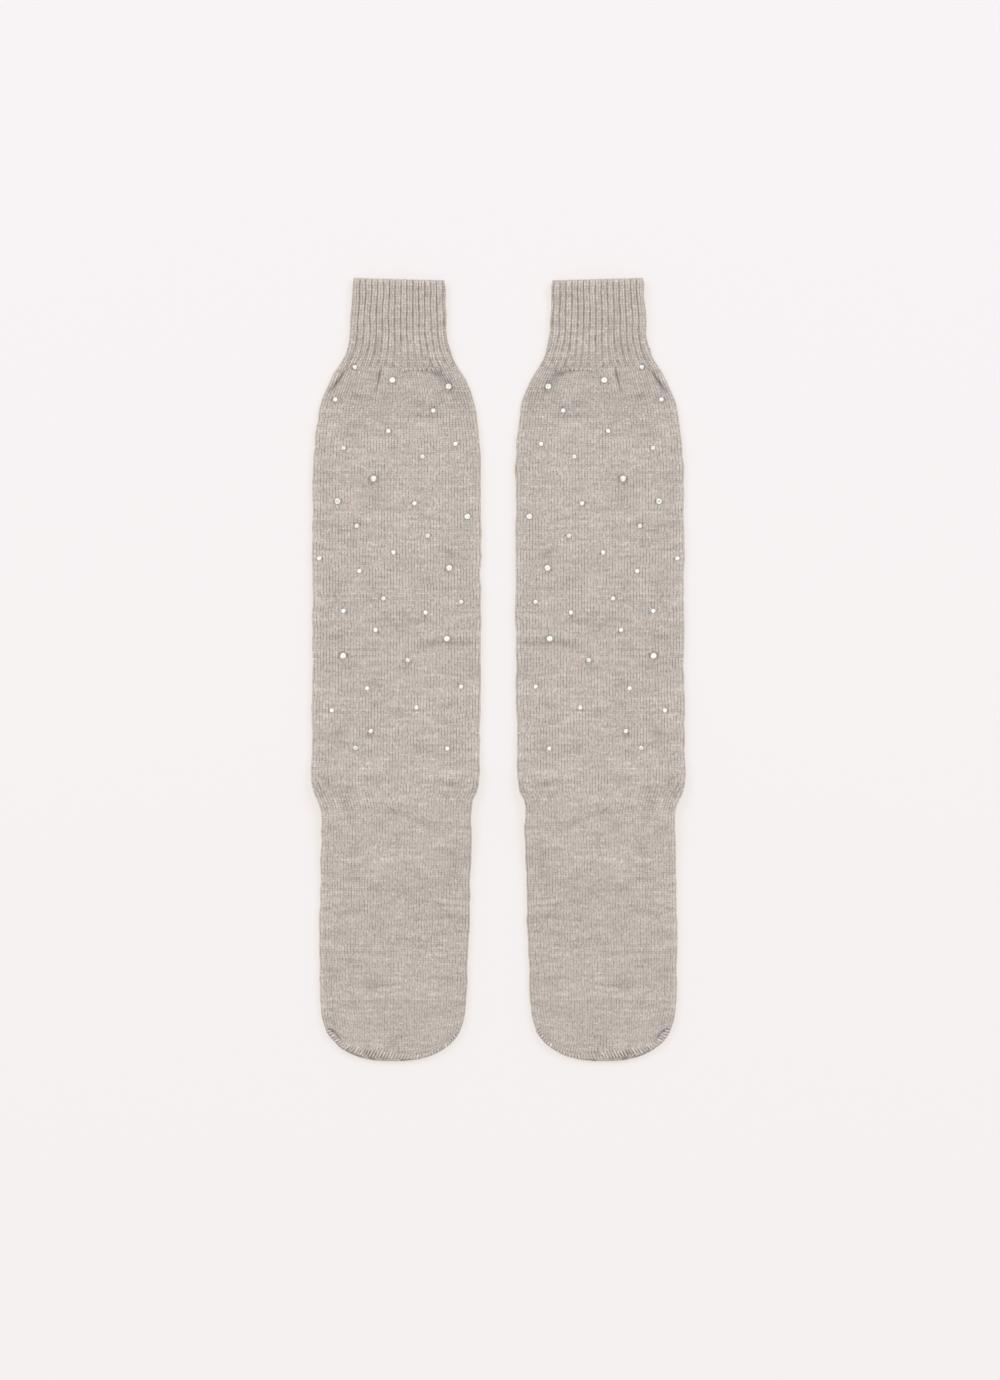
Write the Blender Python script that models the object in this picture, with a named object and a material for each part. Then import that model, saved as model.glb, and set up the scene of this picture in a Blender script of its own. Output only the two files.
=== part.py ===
"""A pair of knit socks, lying flat side by side with their fronts up.

Each sock has a ribbed cuff, a plain knit leg, a heel pocket folded flat under the foot, a foot, a toe closed
round its edge, and clear crystals on the front of the leg. The right sock is the left one mirrored.

Metres, with +Z up. The socks rest on Z = 0, and their length runs along Y with the cuffs towards +Y. The
origin is the middle of the pair, on the surface under it.

One sock is worked out in its own frame, in millimetres: x from its middle line, `along` from the tip of its
toe, and z from the surface.
"""

import math
from collections import namedtuple

import bmesh
import bpy
from mathutils import Vector

MM = 0.001

# Main sizes of one sock, in millimetres.
SOCK_LENGTH = 469.8
SOCK_MIDDLE = 61.1  # from the pair's middle line to a sock's own
CUFF_SEAM = 416.4
HEEL_LINE = 160.2
TOE_LENGTH = 37.2
TOE_ROUNDNESS = 2.4  # exponent of the toe's outline, where 2 is an ellipse
WALL = 1.65
TUBE_HEIGHT = 3.6  # two walls and the slack between them
LEAST_SLACK = 0.2  # kept between the two walls where a fold presses them thinner
SEAM_GAP = 0.3
MOUTH_LIFT = 1.0  # how far the cuff's edge gapes
MOUTH_REACH = 20.0

# The ribs of the cuff: two knit wales proud of a narrow groove.
RIBS_ACROSS = 14
RIB_HEIGHT = 0.55
RIB_MIDDLE_DIP = 0.18
RIB_FADE = 26.0  # length over which the ribs run out, above the cuff's seam

# The heel pocket: a tapered pouch folded under the foot.
POUCH_LAYER = 1.1  # one of its two layers, pressed by the foot on top
POUCH_HEIGHT = 2.0 * POUCH_LAYER
POUCH_LENGTH = 45.0
POUCH_BASE = 44.0  # half its width where it joins the leg
POUCH_TIP = 19.0
POUCH_CORNERS = 8.0  # exponent that rounds its tip
POUCH_MIDDLE = -1.0
DRAPE_MARGIN = 4.5  # the foot's cloth stays up this far past the pouch's edge
DRAPE_REACH = 22.0  # and takes this far to come down to the surface
LEG_REACH = 30.0  # the same for the leg's front, above the heel line

# Points round one section of a tube.
TOP_STEPS = 20
SIDE_STEPS = 4
FLAT_BASE_STEPS = 4
DRAPED_BASE_STEPS = 20
WIDEST_SIDE = 0.45  # the most of a section's width that one rounded side may take
SHARP_ANGLE = 40.0  # degrees between faces past which an edge is shaded sharp

Section = namedtuple("Section", "along left right")
SECTIONS = (
    Section(37.2, -46.1, 42.0),
    Section(45.0, -46.4, 42.4),
    Section(91.0, -46.4, 44.0),
    Section(138.0, -45.3, 45.2),
    Section(152.0, -46.0, 45.3),
    Section(158.0, -47.9, 46.2),
    Section(162.0, -49.8, 48.5),
    Section(167.0, -51.1, 49.3),
    Section(180.0, -51.3, 49.9),
    Section(240.0, -50.7, 50.7),
    Section(330.0, -50.7, 50.8),
    Section(368.0, -49.8, 50.4),
    Section(388.0, -47.3, 48.5),
    Section(400.0, -44.0, 45.7),
    Section(409.0, -40.0, 41.6),
    Section(416.4, -36.3, 37.4),
    Section(424.0, -31.3, 33.3),
    Section(433.0, -28.3, 30.9),
    Section(447.0, -27.9, 29.9),
    Section(469.8, -26.8, 29.7),
)

# The largest folds of the front. turn is in degrees from the x axis, depth is down.
Fold = namedtuple("Fold", "x along turn length width depth")
FOLDS = (
    Fold(-36.5, 406.5, 60.0, 11.0, 3.0, 0.9),
    Fold(-11.0, 410.0, 77.0, 8.0, 3.0, 0.7),
    Fold(28.5, 411.0, 5.0, 9.0, 4.5, 1.0),
    Fold(22.0, 391.0, -20.0, 14.0, 4.5, 0.6),
    Fold(44.0, 392.0, 100.0, 12.0, 4.0, 0.5),
    Fold(32.0, 250.0, 4.0, 22.0, 4.0, 0.8),
    Fold(32.0, 257.0, 4.0, 20.0, 4.0, -0.4),
    Fold(-42.0, 240.0, 75.0, 14.0, 6.0, 0.5),
    Fold(-42.0, 171.0, 70.0, 10.0, 6.0, 0.7),
    Fold(32.0, 167.0, -8.0, 15.0, 4.5, 0.7),
)

# The larger crystals, by the place of each on the sock.
CRYSTAL_RADIUS = 2.25
CRYSTAL_HEIGHT = 1.7
CRYSTAL_SIDES = 8
Crystal = namedtuple("Crystal", "x along")
CRYSTALS = (
    Crystal(-2.5, 409.1),
    Crystal(31.1, 405.3),
    Crystal(-13.8, 349.9),
    Crystal(-35.4, 336.3),
    Crystal(42.5, 327.1),
    Crystal(31.6, 296.2),
    Crystal(30.2, 253.9),
    Crystal(-32.1, 243.5),
)

# Looks, by finish: display colour from 0 to 255, roughness, metallic value.
Finish = namedtuple("Finish", "red green blue roughness metallic")
FINISHES = {
    "rib_knit": Finish(186, 177, 169, 0.95, 0.0),
    "leg_knit": Finish(193, 183, 176, 0.95, 0.0),
    "heel_knit": Finish(190, 180, 173, 0.95, 0.0),
    "foot_knit": Finish(190, 180, 172, 0.95, 0.0),
    "toe_knit": Finish(189, 179, 171, 0.95, 0.0),
    "crystal": Finish(240, 240, 242, 0.05, 0.1),
}

Stretch = namedtuple("Stretch", "start end steps")
LEG_STRETCHES = (
    Stretch(HEEL_LINE, 200.0, 6),
    Stretch(200.0, 378.0, 14),
    Stretch(378.0, CUFF_SEAM, 8),
)
FOOT_STRETCHES = (
    Stretch(TOE_LENGTH, 88.0, 3),
    Stretch(88.0, 118.0, 6),
    Stretch(118.0, HEEL_LINE, 6),
)
CUFF_STRETCHES = (
    Stretch(CUFF_SEAM, 437.0, 4),
    Stretch(437.0, SOCK_LENGTH, 2),
)
TOE_STEPS = 8
TOE_INSIDE_STEPS = 6


def clear_scene():
    for item in list(bpy.data.objects):
        bpy.data.objects.remove(item, do_unlink=True)


def linear(channel):
    """A display channel from 0 to 255 as a linear value."""
    share = channel / 255.0
    if share <= 0.04045:
        return share / 12.92
    return ((share + 0.055) / 1.055) ** 2.4


def finish_material(name):
    finish = FINISHES[name]
    material = bpy.data.materials.new(name)
    material.use_nodes = True
    shader = material.node_tree.nodes["Principled BSDF"]
    colour = [linear(channel) for channel in (finish.red, finish.green, finish.blue)]
    shader.inputs["Base Color"].default_value = (*colour, 1.0)
    shader.inputs["Roughness"].default_value = finish.roughness
    shader.inputs["Metallic"].default_value = finish.metallic
    return material


def ease(share):
    """1 at 0, falling smoothly to 0 at 1 and beyond."""
    share = min(max(share, 0.0), 1.0)
    return 0.5 + 0.5 * math.cos(math.pi * share)


def smooth_value(along, column):
    """A column of SECTIONS between its rows, on a smooth curve through them."""
    places = [row.along for row in SECTIONS]
    values = [getattr(row, column) for row in SECTIONS]
    last = len(SECTIONS) - 1
    at = min(max(along, places[0]), places[last])
    here = max(i for i in range(last) if places[i] <= at)
    span = places[here + 1] - places[here]

    def slope(i):
        before = max(i - 1, 0)
        after = min(i + 1, last)
        return (values[after] - values[before]) / (places[after] - places[before])

    t = (at - places[here]) / span
    rise = t * t * (3.0 - 2.0 * t)
    start = (t - 2.0 * t * t + t * t * t) * span * slope(here)
    end = (t * t * t - t * t) * span * slope(here + 1)
    return values[here] * (1.0 - rise) + values[here + 1] * rise + start + end


def edges(along):
    """The sock's left and right edge. Below the toe line they close on a round outline."""
    left = smooth_value(along, "left")
    right = smooth_value(along, "right")
    if along >= TOE_LENGTH:
        return left, right
    middle = 0.5 * (left + right)
    reach = min((TOE_LENGTH - along) / TOE_LENGTH, 1.0)
    share = (1.0 - reach**TOE_ROUNDNESS) ** (1.0 / TOE_ROUNDNESS)
    half = 0.5 * (right - left) * share
    return middle - half, middle + half


def pouch_half_width(down):
    """Half the width of the heel pocket, by the distance down from the heel line."""
    return POUCH_BASE + (POUCH_TIP - POUCH_BASE) * down / POUCH_LENGTH


def drape(x, along):
    """How far the heel pocket underneath lifts the cloth, which comes down softly beside it."""
    down = HEEL_LINE - along
    across = abs(x - POUCH_MIDDLE)
    taper = math.atan2(POUCH_BASE - POUCH_TIP, POUCH_LENGTH)
    beside = max(across - pouch_half_width(min(max(down, 0.0), POUCH_LENGTH)), 0.0)
    beyond = max(down - POUCH_LENGTH, 0.0)
    past = max(math.hypot(beside * math.cos(taper), beyond) - DRAPE_MARGIN, 0.0) / DRAPE_REACH
    above = max(-down, 0.0) / LEG_REACH
    return (POUCH_HEIGHT + SEAM_GAP) * ease(math.hypot(past, above))


def fold_depth(x, along):
    """How far the folds of the front lower it."""
    total = 0.0
    for fold in FOLDS:
        turn = math.radians(fold.turn)
        from_x = x - fold.x
        from_along = along - fold.along
        run = from_x * math.cos(turn) + from_along * math.sin(turn)
        side = from_along * math.cos(turn) - from_x * math.sin(turn)
        total += fold.depth * math.exp(-((run / fold.length) ** 2) - (side / fold.width) ** 2)
    return total


def mouth(along):
    return MOUTH_LIFT * ease((SOCK_LENGTH - along) / MOUTH_REACH)


def top_level(x, along):
    return TUBE_HEIGHT + drape(x, along) + mouth(along) - fold_depth(x, along)


def base_level(x, along):
    """The back of the leg and cuff is on the surface. The sole is on the heel pocket, then on the surface."""
    return drape(x, along) if along < HEEL_LINE else 0.0


def tip_share(along, inset):
    """How full the section's height is near the closed end, which is as round as the sides."""
    radius = 0.5 * TUBE_HEIGHT - inset
    inside = min(max((along - inset) / radius, 0.0), 1.0)
    return math.sqrt(1.0 - (1.0 - inside) ** 2)


def section_ring(along, inset, across, base_steps=FLAT_BASE_STEPS):
    """Points round the tube at one place, `inset` inside its outer face. across lists shares of its width."""
    left, right = edges(along)
    left += inset
    right -= inset

    def levels(x):
        base = base_level(x, along)
        top = top_level(x, along)
        middle = 0.5 * (base + top)
        half = max(0.5 * (top - base) - inset, 0.5 * LEAST_SLACK) * tip_share(along, inset)
        return middle - half, middle + half

    def side(edge, inward):
        base, top = levels(edge)
        radius = min(0.5 * (top - base), WIDEST_SIDE * (right - left))
        centre = edge + inward * radius
        return centre, radius

    left_centre, left_radius = side(left, 1.0)
    right_centre, right_radius = side(right, -1.0)
    ring = []
    for share in across:
        x = left_centre + (right_centre - left_centre) * share
        ring.append((x, along, levels(x)[1]))
    for step in range(1, SIDE_STEPS):
        angle = math.pi * step / SIDE_STEPS
        base, top = levels(right_centre)
        ring.append(
            (
                right_centre + right_radius * math.sin(angle),
                along,
                0.5 * (base + top) + 0.5 * (top - base) * math.cos(angle),
            )
        )
    for step in range(base_steps + 1):
        x = right_centre + (left_centre - right_centre) * step / base_steps
        ring.append((x, along, levels(x)[0]))
    for step in range(1, SIDE_STEPS):
        angle = math.pi * step / SIDE_STEPS
        base, top = levels(left_centre)
        ring.append(
            (
                left_centre - left_radius * math.sin(angle),
                along,
                0.5 * (base + top) - 0.5 * (top - base) * math.cos(angle),
            )
        )
    return ring


def even_shares(steps):
    return [step / steps for step in range(steps + 1)]


# One rib: a share of its width, and how far that point stands proud.
RibPoint = namedtuple("RibPoint", "share rise")
RIB_POINTS = (
    RibPoint(0.0, 0.0),
    RibPoint(0.22, RIB_HEIGHT),
    RibPoint(0.5, RIB_HEIGHT - RIB_MIDDLE_DIP),
    RibPoint(0.78, RIB_HEIGHT),
)


def rib_shares():
    shares = [(rib + point.share) / RIBS_ACROSS for rib in range(RIBS_ACROSS) for point in RIB_POINTS]
    return [*shares, 1.0]


def ribbed_ring(along):
    """A section of the cuff, with its ribs raised on the upper side."""
    ring = section_ring(along, 0.0, rib_shares())
    strength = 1.0 - ease((along - CUFF_SEAM) / RIB_FADE)
    raised = []
    for index, (x, y, z) in enumerate(ring):
        on_top = index < RIBS_ACROSS * len(RIB_POINTS)
        rise = RIB_POINTS[index % len(RIB_POINTS)].rise * strength if on_top else 0.0
        raised.append((x, y, z + rise))
    return raised


def places(stretches, trim_start, trim_end):
    """Where the sections stand, with half the seam's gap left off at each end that meets another piece."""
    found = [stretches[0].start + trim_start]
    for stretch in stretches:
        for step in range(1, stretch.steps + 1):
            found.append(stretch.start + (stretch.end - stretch.start) * step / stretch.steps)
    found[-1] -= trim_end
    return found


def toe_places(inset, steps):
    """Sections of the toe from its open end to its tip, closer together where it rounds."""
    reach = TOE_LENGTH - 0.5 * SEAM_GAP - inset
    turns = [0.5 * math.pi * step / steps for step in range(steps + 1)]
    return [inset + reach * (1.0 - math.sin(turn)) for turn in turns]


def join_rings(mesh, rings):
    """Skins a row of rings, each with the same number of points, and gives back their vertices."""
    rows = [[mesh.verts.new(point) for point in ring] for ring in rings]
    for first, second in zip(rows, rows[1:]):
        for index, vertex in enumerate(first):
            after = (index + 1) % len(first)
            mesh.faces.new((vertex, first[after], second[after], second[index]))
    return rows


def close_ring(mesh, row, tip):
    """Draws a ring together at a point."""
    end = mesh.verts.new(tip)
    for index, vertex in enumerate(row):
        mesh.faces.new((vertex, row[(index + 1) % len(row)], end))


def place_on_side(mesh, side):
    """Moves a sock's mesh from its own frame to the pair's, in metres. side is -1 for the left sock."""
    for vertex in mesh.verts:
        x, along, z = vertex.co
        vertex.co = (
            (side * SOCK_MIDDLE - side * x) * MM,
            (along - 0.5 * SOCK_LENGTH) * MM,
            z * MM,
        )
    bmesh.ops.recalc_face_normals(mesh, faces=mesh.faces)


def finished_object(name, mesh, material):
    data = bpy.data.meshes.new(name)
    mesh.to_mesh(data)
    mesh.free()
    data.shade_smooth()
    data.set_sharp_from_angle(angle=math.radians(SHARP_ANGLE))
    data.materials.append(material)
    item = bpy.data.objects.new(name, data)
    bpy.context.scene.collection.objects.link(item)
    return item


def open_tube(name, side, material, outer_rings, inner_rings):
    """A wall open at both ends: an outer skin, a plain inner one, and the two ends between them."""
    mesh = bmesh.new()
    outer = join_rings(mesh, outer_rings)
    inner = join_rings(mesh, inner_rings)
    for out_row, in_row in ((outer[0], inner[0]), (outer[-1], inner[-1])):
        for index, vertex in enumerate(out_row):
            after = (index + 1) % len(out_row)
            mesh.faces.new((vertex, out_row[after], in_row[after], in_row[index]))
    place_on_side(mesh, side)
    return finished_object(name, mesh, material)


def make_cuff(name, side, material):
    found = places(CUFF_STRETCHES, 0.5 * SEAM_GAP, 0.0)
    outer = [ribbed_ring(place) for place in found]
    inner = [section_ring(place, WALL, rib_shares()) for place in found[::2]]
    return open_tube(name, side, material, outer, inner)


def make_leg(name, side, material):
    found = places(LEG_STRETCHES, 0.5 * SEAM_GAP, 0.5 * SEAM_GAP)
    shares = even_shares(TOP_STEPS)
    outer = [section_ring(place, 0.0, shares) for place in found]
    inner = [section_ring(place, WALL, shares) for place in found[::2]]
    return open_tube(name, side, material, outer, inner)


def make_foot(name, side, material):
    found = places(FOOT_STRETCHES, 0.5 * SEAM_GAP, 0.5 * SEAM_GAP)
    shares = even_shares(TOP_STEPS)
    outer = [section_ring(place, 0.0, shares, DRAPED_BASE_STEPS) for place in found]
    inner = [section_ring(place, WALL, shares, DRAPED_BASE_STEPS) for place in found]
    return open_tube(name, side, material, outer, inner)


def make_toe(name, side, material):
    """The closed end: a wall open towards the foot."""
    shares = even_shares(TOP_STEPS)
    left, right = edges(TOE_LENGTH)
    middle = 0.5 * (left + right)
    mesh = bmesh.new()
    ends = []
    for inset, steps in ((0.0, TOE_STEPS), (WALL, TOE_INSIDE_STEPS)):
        rings = [section_ring(place, inset, shares) for place in toe_places(inset, steps)[:-1]]
        rows = join_rings(mesh, rings)
        close_ring(mesh, rows[-1], (middle, inset, 0.5 * TUBE_HEIGHT))
        ends.append(rows[0])
    outer, inner = ends
    for index, vertex in enumerate(outer):
        after = (index + 1) % len(outer)
        mesh.faces.new((vertex, outer[after], inner[after], inner[index]))
    place_on_side(mesh, side)
    return finished_object(name, mesh, material)


# The layered edge of the heel pocket, from underneath: how far in and how high, as shares of one layer.
EdgePoint = namedtuple("EdgePoint", "inset z")
POUCH_EDGE = (
    EdgePoint(0.8, 0.0),
    EdgePoint(0.2, 0.15),
    EdgePoint(0.0, 0.5),
    EdgePoint(0.2, 0.85),
    EdgePoint(0.6, 1.0),
    EdgePoint(0.2, 1.15),
    EdgePoint(0.0, 1.5),
    EdgePoint(0.2, 1.85),
    EdgePoint(0.8, 2.0),
)
POUCH_STEPS = 9


def pouch_outline(inset):
    """The heel pocket's outline from its left corner down round the tip and back up to its right corner."""
    length = POUCH_LENGTH - inset
    down_left = []
    for step in range(POUCH_STEPS):
        down = length * math.sin(0.5 * math.pi * step / POUCH_STEPS)
        corner = (1.0 - (down / length) ** POUCH_CORNERS) ** (1.0 / POUCH_CORNERS)
        down_left.append((down, (pouch_half_width(down) - inset) * corner))
    start = HEEL_LINE - 0.5 * SEAM_GAP
    outline = [(POUCH_MIDDLE - half, start - down) for down, half in down_left]
    outline.append((POUCH_MIDDLE, start - length))
    outline += [(POUCH_MIDDLE + half, start - down) for down, half in reversed(down_left)]
    return outline


def make_heel(name, side, material):
    """The heel pocket's hidden layers as one rounded solid, parted by a groove round the edge."""
    mesh = bmesh.new()
    rings = []
    for point in POUCH_EDGE:
        outline = pouch_outline(point.inset * POUCH_LAYER)
        rings.append([(x, along, point.z * POUCH_LAYER) for x, along in outline])
    rows = join_rings(mesh, rings)
    mesh.faces.new(rows[0])
    mesh.faces.new(rows[-1])
    place_on_side(mesh, side)
    return finished_object(name, mesh, material)


def surface_frame(x, along):
    """A point of the leg's front, with its normal."""
    step = 1.0
    rise_x = (top_level(x + step, along) - top_level(x - step, along)) / (2.0 * step)
    rise_along = (top_level(x, along + step) - top_level(x, along - step)) / (2.0 * step)
    normal = Vector((-rise_x, -rise_along, 1.0)).normalized()
    return Vector((x, along, top_level(x, along))), normal


# One crystal, from its flat back up: each ring's radius and height as shares, how many sides it has for each
# side of the table, and its turn in sides.
CutRing = namedtuple("CutRing", "radius z sides turn")
CRYSTAL_CUT = (
    CutRing(0.94, 0.0, 2, 0.0),
    CutRing(1.0, 0.18, 2, 0.0),
    CutRing(0.52, 1.0, 1, 0.5),
)


def make_crystal(name, side, material, place):
    """A flat-backed round cut stone, seated just clear of the knit it is stuck to."""
    point, normal = surface_frame(place.x, place.along)
    turn = Vector((0.0, 0.0, 1.0)).rotation_difference(normal)
    seat = point + normal * SEAM_GAP
    mesh = bmesh.new()
    rows = []
    for cut in CRYSTAL_CUT:
        count = CRYSTAL_SIDES * cut.sides
        row = []
        for index in range(count):
            angle = 2.0 * math.pi * (index + cut.turn) / count
            offset = Vector(
                (
                    CRYSTAL_RADIUS * cut.radius * math.cos(angle),
                    CRYSTAL_RADIUS * cut.radius * math.sin(angle),
                    CRYSTAL_HEIGHT * cut.z,
                )
            )
            row.append(mesh.verts.new(seat + turn @ offset))
        rows.append(row)
    back, girdle, table = rows
    mesh.faces.new(back)
    mesh.faces.new(table)
    for index, vertex in enumerate(back):
        after = (index + 1) % len(back)
        mesh.faces.new((vertex, back[after], girdle[after], girdle[index]))
    for index, vertex in enumerate(table):
        after = (index + 1) % len(table)
        near = 2 * index + 1
        far = (near + 1) % len(girdle)
        mesh.faces.new((girdle[near - 1], girdle[near], vertex))
        mesh.faces.new((girdle[near], girdle[far], vertex))
        mesh.faces.new((girdle[far], table[after], vertex))
    place_on_side(mesh, side)
    item = finished_object(name, mesh, material)
    item.data.shade_flat()
    return item


def main():
    clear_scene()
    materials = {name: finish_material(name) for name in FINISHES}
    for prefix, side in (("left", -1.0), ("right", 1.0)):
        make_cuff(f"{prefix}_cuff", side, materials["rib_knit"])
        make_leg(f"{prefix}_leg", side, materials["leg_knit"])
        make_heel(f"{prefix}_heel", side, materials["heel_knit"])
        make_foot(f"{prefix}_foot", side, materials["foot_knit"])
        make_toe(f"{prefix}_toe", side, materials["toe_knit"])
        for number, place in enumerate(CRYSTALS, start=1):
            make_crystal(f"{prefix}_crystal_{number}", side, materials["crystal"], place)


main()
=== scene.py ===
"""Dresses the pair of knit socks: real stitches and ribs, hems, toe seams, crystals and the studio.

One sock is worked out in its own frame, in millimetres: x from its middle line, `along` from the tip of its
toe, and z from the surface. The right sock is the left one mirrored.
"""

import math
from collections import namedtuple

import bmesh
import bpy
import numpy as np
from bpy.props import FloatProperty, FloatVectorProperty, IntProperty, PointerProperty
from mathutils import Matrix, Vector


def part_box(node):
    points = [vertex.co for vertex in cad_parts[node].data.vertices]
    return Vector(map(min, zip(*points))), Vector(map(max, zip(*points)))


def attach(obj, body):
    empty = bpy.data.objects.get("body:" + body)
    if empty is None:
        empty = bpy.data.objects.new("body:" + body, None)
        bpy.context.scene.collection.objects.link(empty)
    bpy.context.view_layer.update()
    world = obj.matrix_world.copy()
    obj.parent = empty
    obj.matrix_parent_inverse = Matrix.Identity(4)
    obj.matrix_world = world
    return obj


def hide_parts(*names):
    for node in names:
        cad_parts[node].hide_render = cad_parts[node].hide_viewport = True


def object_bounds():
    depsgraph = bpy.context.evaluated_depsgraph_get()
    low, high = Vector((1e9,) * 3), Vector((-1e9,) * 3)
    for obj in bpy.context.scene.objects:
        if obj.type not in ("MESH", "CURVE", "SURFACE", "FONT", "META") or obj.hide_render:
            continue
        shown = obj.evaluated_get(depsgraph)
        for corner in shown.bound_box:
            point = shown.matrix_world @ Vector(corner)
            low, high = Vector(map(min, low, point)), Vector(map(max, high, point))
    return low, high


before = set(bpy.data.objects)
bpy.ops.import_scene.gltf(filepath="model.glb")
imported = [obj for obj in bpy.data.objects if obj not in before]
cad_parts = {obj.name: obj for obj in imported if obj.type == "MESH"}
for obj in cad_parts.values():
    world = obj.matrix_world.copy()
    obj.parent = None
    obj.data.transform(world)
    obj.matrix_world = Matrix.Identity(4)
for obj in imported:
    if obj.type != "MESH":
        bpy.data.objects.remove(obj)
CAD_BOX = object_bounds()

bl_info = {
    "name": "Knit socks",
    "version": (1, 0, 0),
    "blender": (4, 5, 0),
    "location": "3D View > Sidebar > Socks",
    "description": "Knits a pair of long socks with ribbed cuffs and crystals, lying flat",
    "category": "Add Mesh",
}

MM = 0.001
QUARTER_TURN = 0.5 * math.pi
TINY = 1e-9  # keeps a division from going by nought
SAME_PLACE = 0.01  # places along the sock that are closer than this are one
SIDES = {"left": -1.0, "right": 1.0}


def frame_along(node, corner):
    """How far from the toe's tip a node starts (corner 0) or ends (corner 1), in millimetres."""
    return (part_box(node)[corner].y - CAD_BOX[0].y) / MM


# Places along a sock, from the frame.
SOCK_LENGTH = (CAD_BOX[1].y - CAD_BOX[0].y) / MM
CUFF_SEAM = 0.5 * (frame_along("left_cuff", 0) + frame_along("left_leg", 1))
HEEL_LINE = 0.5 * (frame_along("left_leg", 0) + frame_along("left_foot", 1))
TOE_LINE = 0.5 * (frame_along("left_foot", 0) + frame_along("left_toe", 1))
SOCK_MIDDLE = 61.1  # how far a sock's middle line lies from the pair's

# The tube's wall, and the room in it.
WALL = 1.65
TUBE_HEIGHT = 3.6
LEAST_SLACK = 0.2  # height of the room inside where the tube lies flattest
LIP_BULGE = 0.35  # how far the mouth's lip stands out, as a share of the wall
SIDE_RADIUS = 0.5 * TUBE_HEIGHT
SKIN_INSET = 0.15  # how far the cloth's own face lies under the solid's, to leave room for its stitches
EDGE_INSET = 0.45  # the same at the sides
TIP_INSET = 0.2  # and at the toe's tip
RIB_INSET = 1.0  # and this much more at the sides of the cuff, for its ribs
MOUTH_LIFT = 1.0  # how much higher the cuff stands at its mouth
MOUTH_REACH = 20.0  # and how far down from there it comes down to the rest
HEM_SLOPE = -0.026  # the cuff's edge runs down to the right
HEM_REACH = 18.0  # and the rows below it level out over this length
SEAM_REACH = 0.7  # the stitches fade this close to the cuff's seam
SEAM_SHADE = 0.15  # how dark that seam is
EDGE_LIGHT = 0.24  # painted light on the sock's edges, standing in for the nap's sheen, as a share of a ridge's
EDGE_REACH = 5.0  # how far in from them it reaches
INNER_LIGHT = 0.7  # share of it on the inner edge of the leg, and none of it on the foot's
INNER_START = 130.0  # it begins here on that edge
INNER_RISE = 90.0  # and is whole this much further up
LIGHT_END = 400.0  # it fades out where the leg narrows into the cuff
LIGHT_FADE = 25.0
RIDGE_LIMIT = -0.5  # no ridge gets more painted light than this, and no trough more painted shade
TROUGH_LIMIT = 1.0

# How a knitted edge wavers: its long and its short waves, and where each side of the sock starts in them.
Wave = namedtuple("Wave", "depth length turns")
EDGE_WAVES = (Wave(0.22, 7.3, 1.0), Wave(0.13, 2.9, 1.7))
LEFT_PHASE = 0.4
RIGHT_PHASE = 2.6

# The heel pocket, folded flat under the foot: two layers, wide at the heel line and narrow at the tip.
POUCH_LAYER = 1.1
POUCH_HEIGHT = 2.0 * POUCH_LAYER
POUCH_GAP = 0.3  # room between it and what lies against it
POUCH_LENGTH = 45.0
POUCH_BASE = 44.0  # half its width at the heel line
POUCH_TIP = 19.0  # and half of it at the tip
POUCH_CORNERS = 8.0  # how square its tip's corners are
POUCH_MIDDLE = -1.0

# How the foot and the leg come down beside it.
DRAPE_MARGIN = 4.5  # the cloth stays up this far beyond the pocket
DRAPE_REACH = 22.0  # then comes down over this
LEG_REACH = 30.0  # and over this on the leg, above the heel line

# The toe's outline and wales. down runs from 0 at the toe line to 1 at the seam, and a power tells how late a
# change comes.
TOE_ROUNDNESS = 2.45
TOE_DEPTH = TOE_LINE - TIP_INSET
TOE_STEPS = 240  # of its outline
BEYOND_TOE = 30.0  # how far up the foot that outline is carried on
TOE_SPREAD = 0.3  # how much further apart the wales meet the seam in its middle
TOE_TURN = 1.2  # how strongly they turn to meet it squarely
TURN_POWER = 4  # the turn fades out towards the sides
HUG_POWER = 6  # where the wales follow the outline instead
SETTLE_POWER = 4  # and move to their places on the seam only near it
ROOM_REACH = 0.2  # down to here the stitches' height eases to the room of their wale
TOE_FADE_START = 0.97  # the stitches get lower from here
TOE_FADE = 0.06  # over this much, so that half their height is left at the seam
EDGE_LIGHT_DOWN = 0.7  # the edges' painted light is gone by here

# The stretch of the toe that is linked shut, and its stitches.
Loop = namedtuple("Loop", "length width height droop")
SEAM_SPAN = 0.93  # share of the toe's half width that the seam reaches on each side
SEAM_STITCH = 7.0  # length of a linking stitch where it is longest
SEAM_LONGEST = -11.0  # where that is, from the toe's middle
SEAM_EASE = 36.0  # and how far from there they are at their shortest
SEAM_LEAST = 0.3  # their size there, as a share
SEAM_LOOP = Loop(1.05, SEAM_STITCH, 0.9, 0.9)
SEAM_LEAN = math.radians(22.0)  # how far a stitch leans from square
SEAM_PITCH = 1.86  # from one stitch to the next
SEAM_SEED = 23
SEAM_STEPS = 400  # of the outline that the seam is taken from
SEAM_MARGIN = 0.5  # how far above its ends a point may still be on it
SEAM_RISE = 0.45  # how far the stitches stand over the tube
SEAM_OUT = 0.22  # their way up, as its parts outwards and upwards
SEAM_UP = 0.97
SEAM_GAP_SHADE = 1.0  # how dark the painted shade in the gaps between them is
GAP_REACH = 0.55  # how far in the gaps go, as a share of a stitch
GAP_FADE = 1.5  # and over how much further they fade
GAP_FULL = 0.6  # how far down they are at their darkest
GAP_RISE = 0.3  # and over how much of the toe they get there

# The knit: wales over the front, from one fold to the other, and courses along it.
WALES = 56
PLAIN_WALE = 1.75  # its width on the leg
LOWER_WALES = 2  # those that turn under each fold
END_TUCK = 1.0  # how far a closed end slopes back into its own piece, under the stitches
STEPS_PER_WALE = 4
STEPS_PER_COURSE = 2

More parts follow.
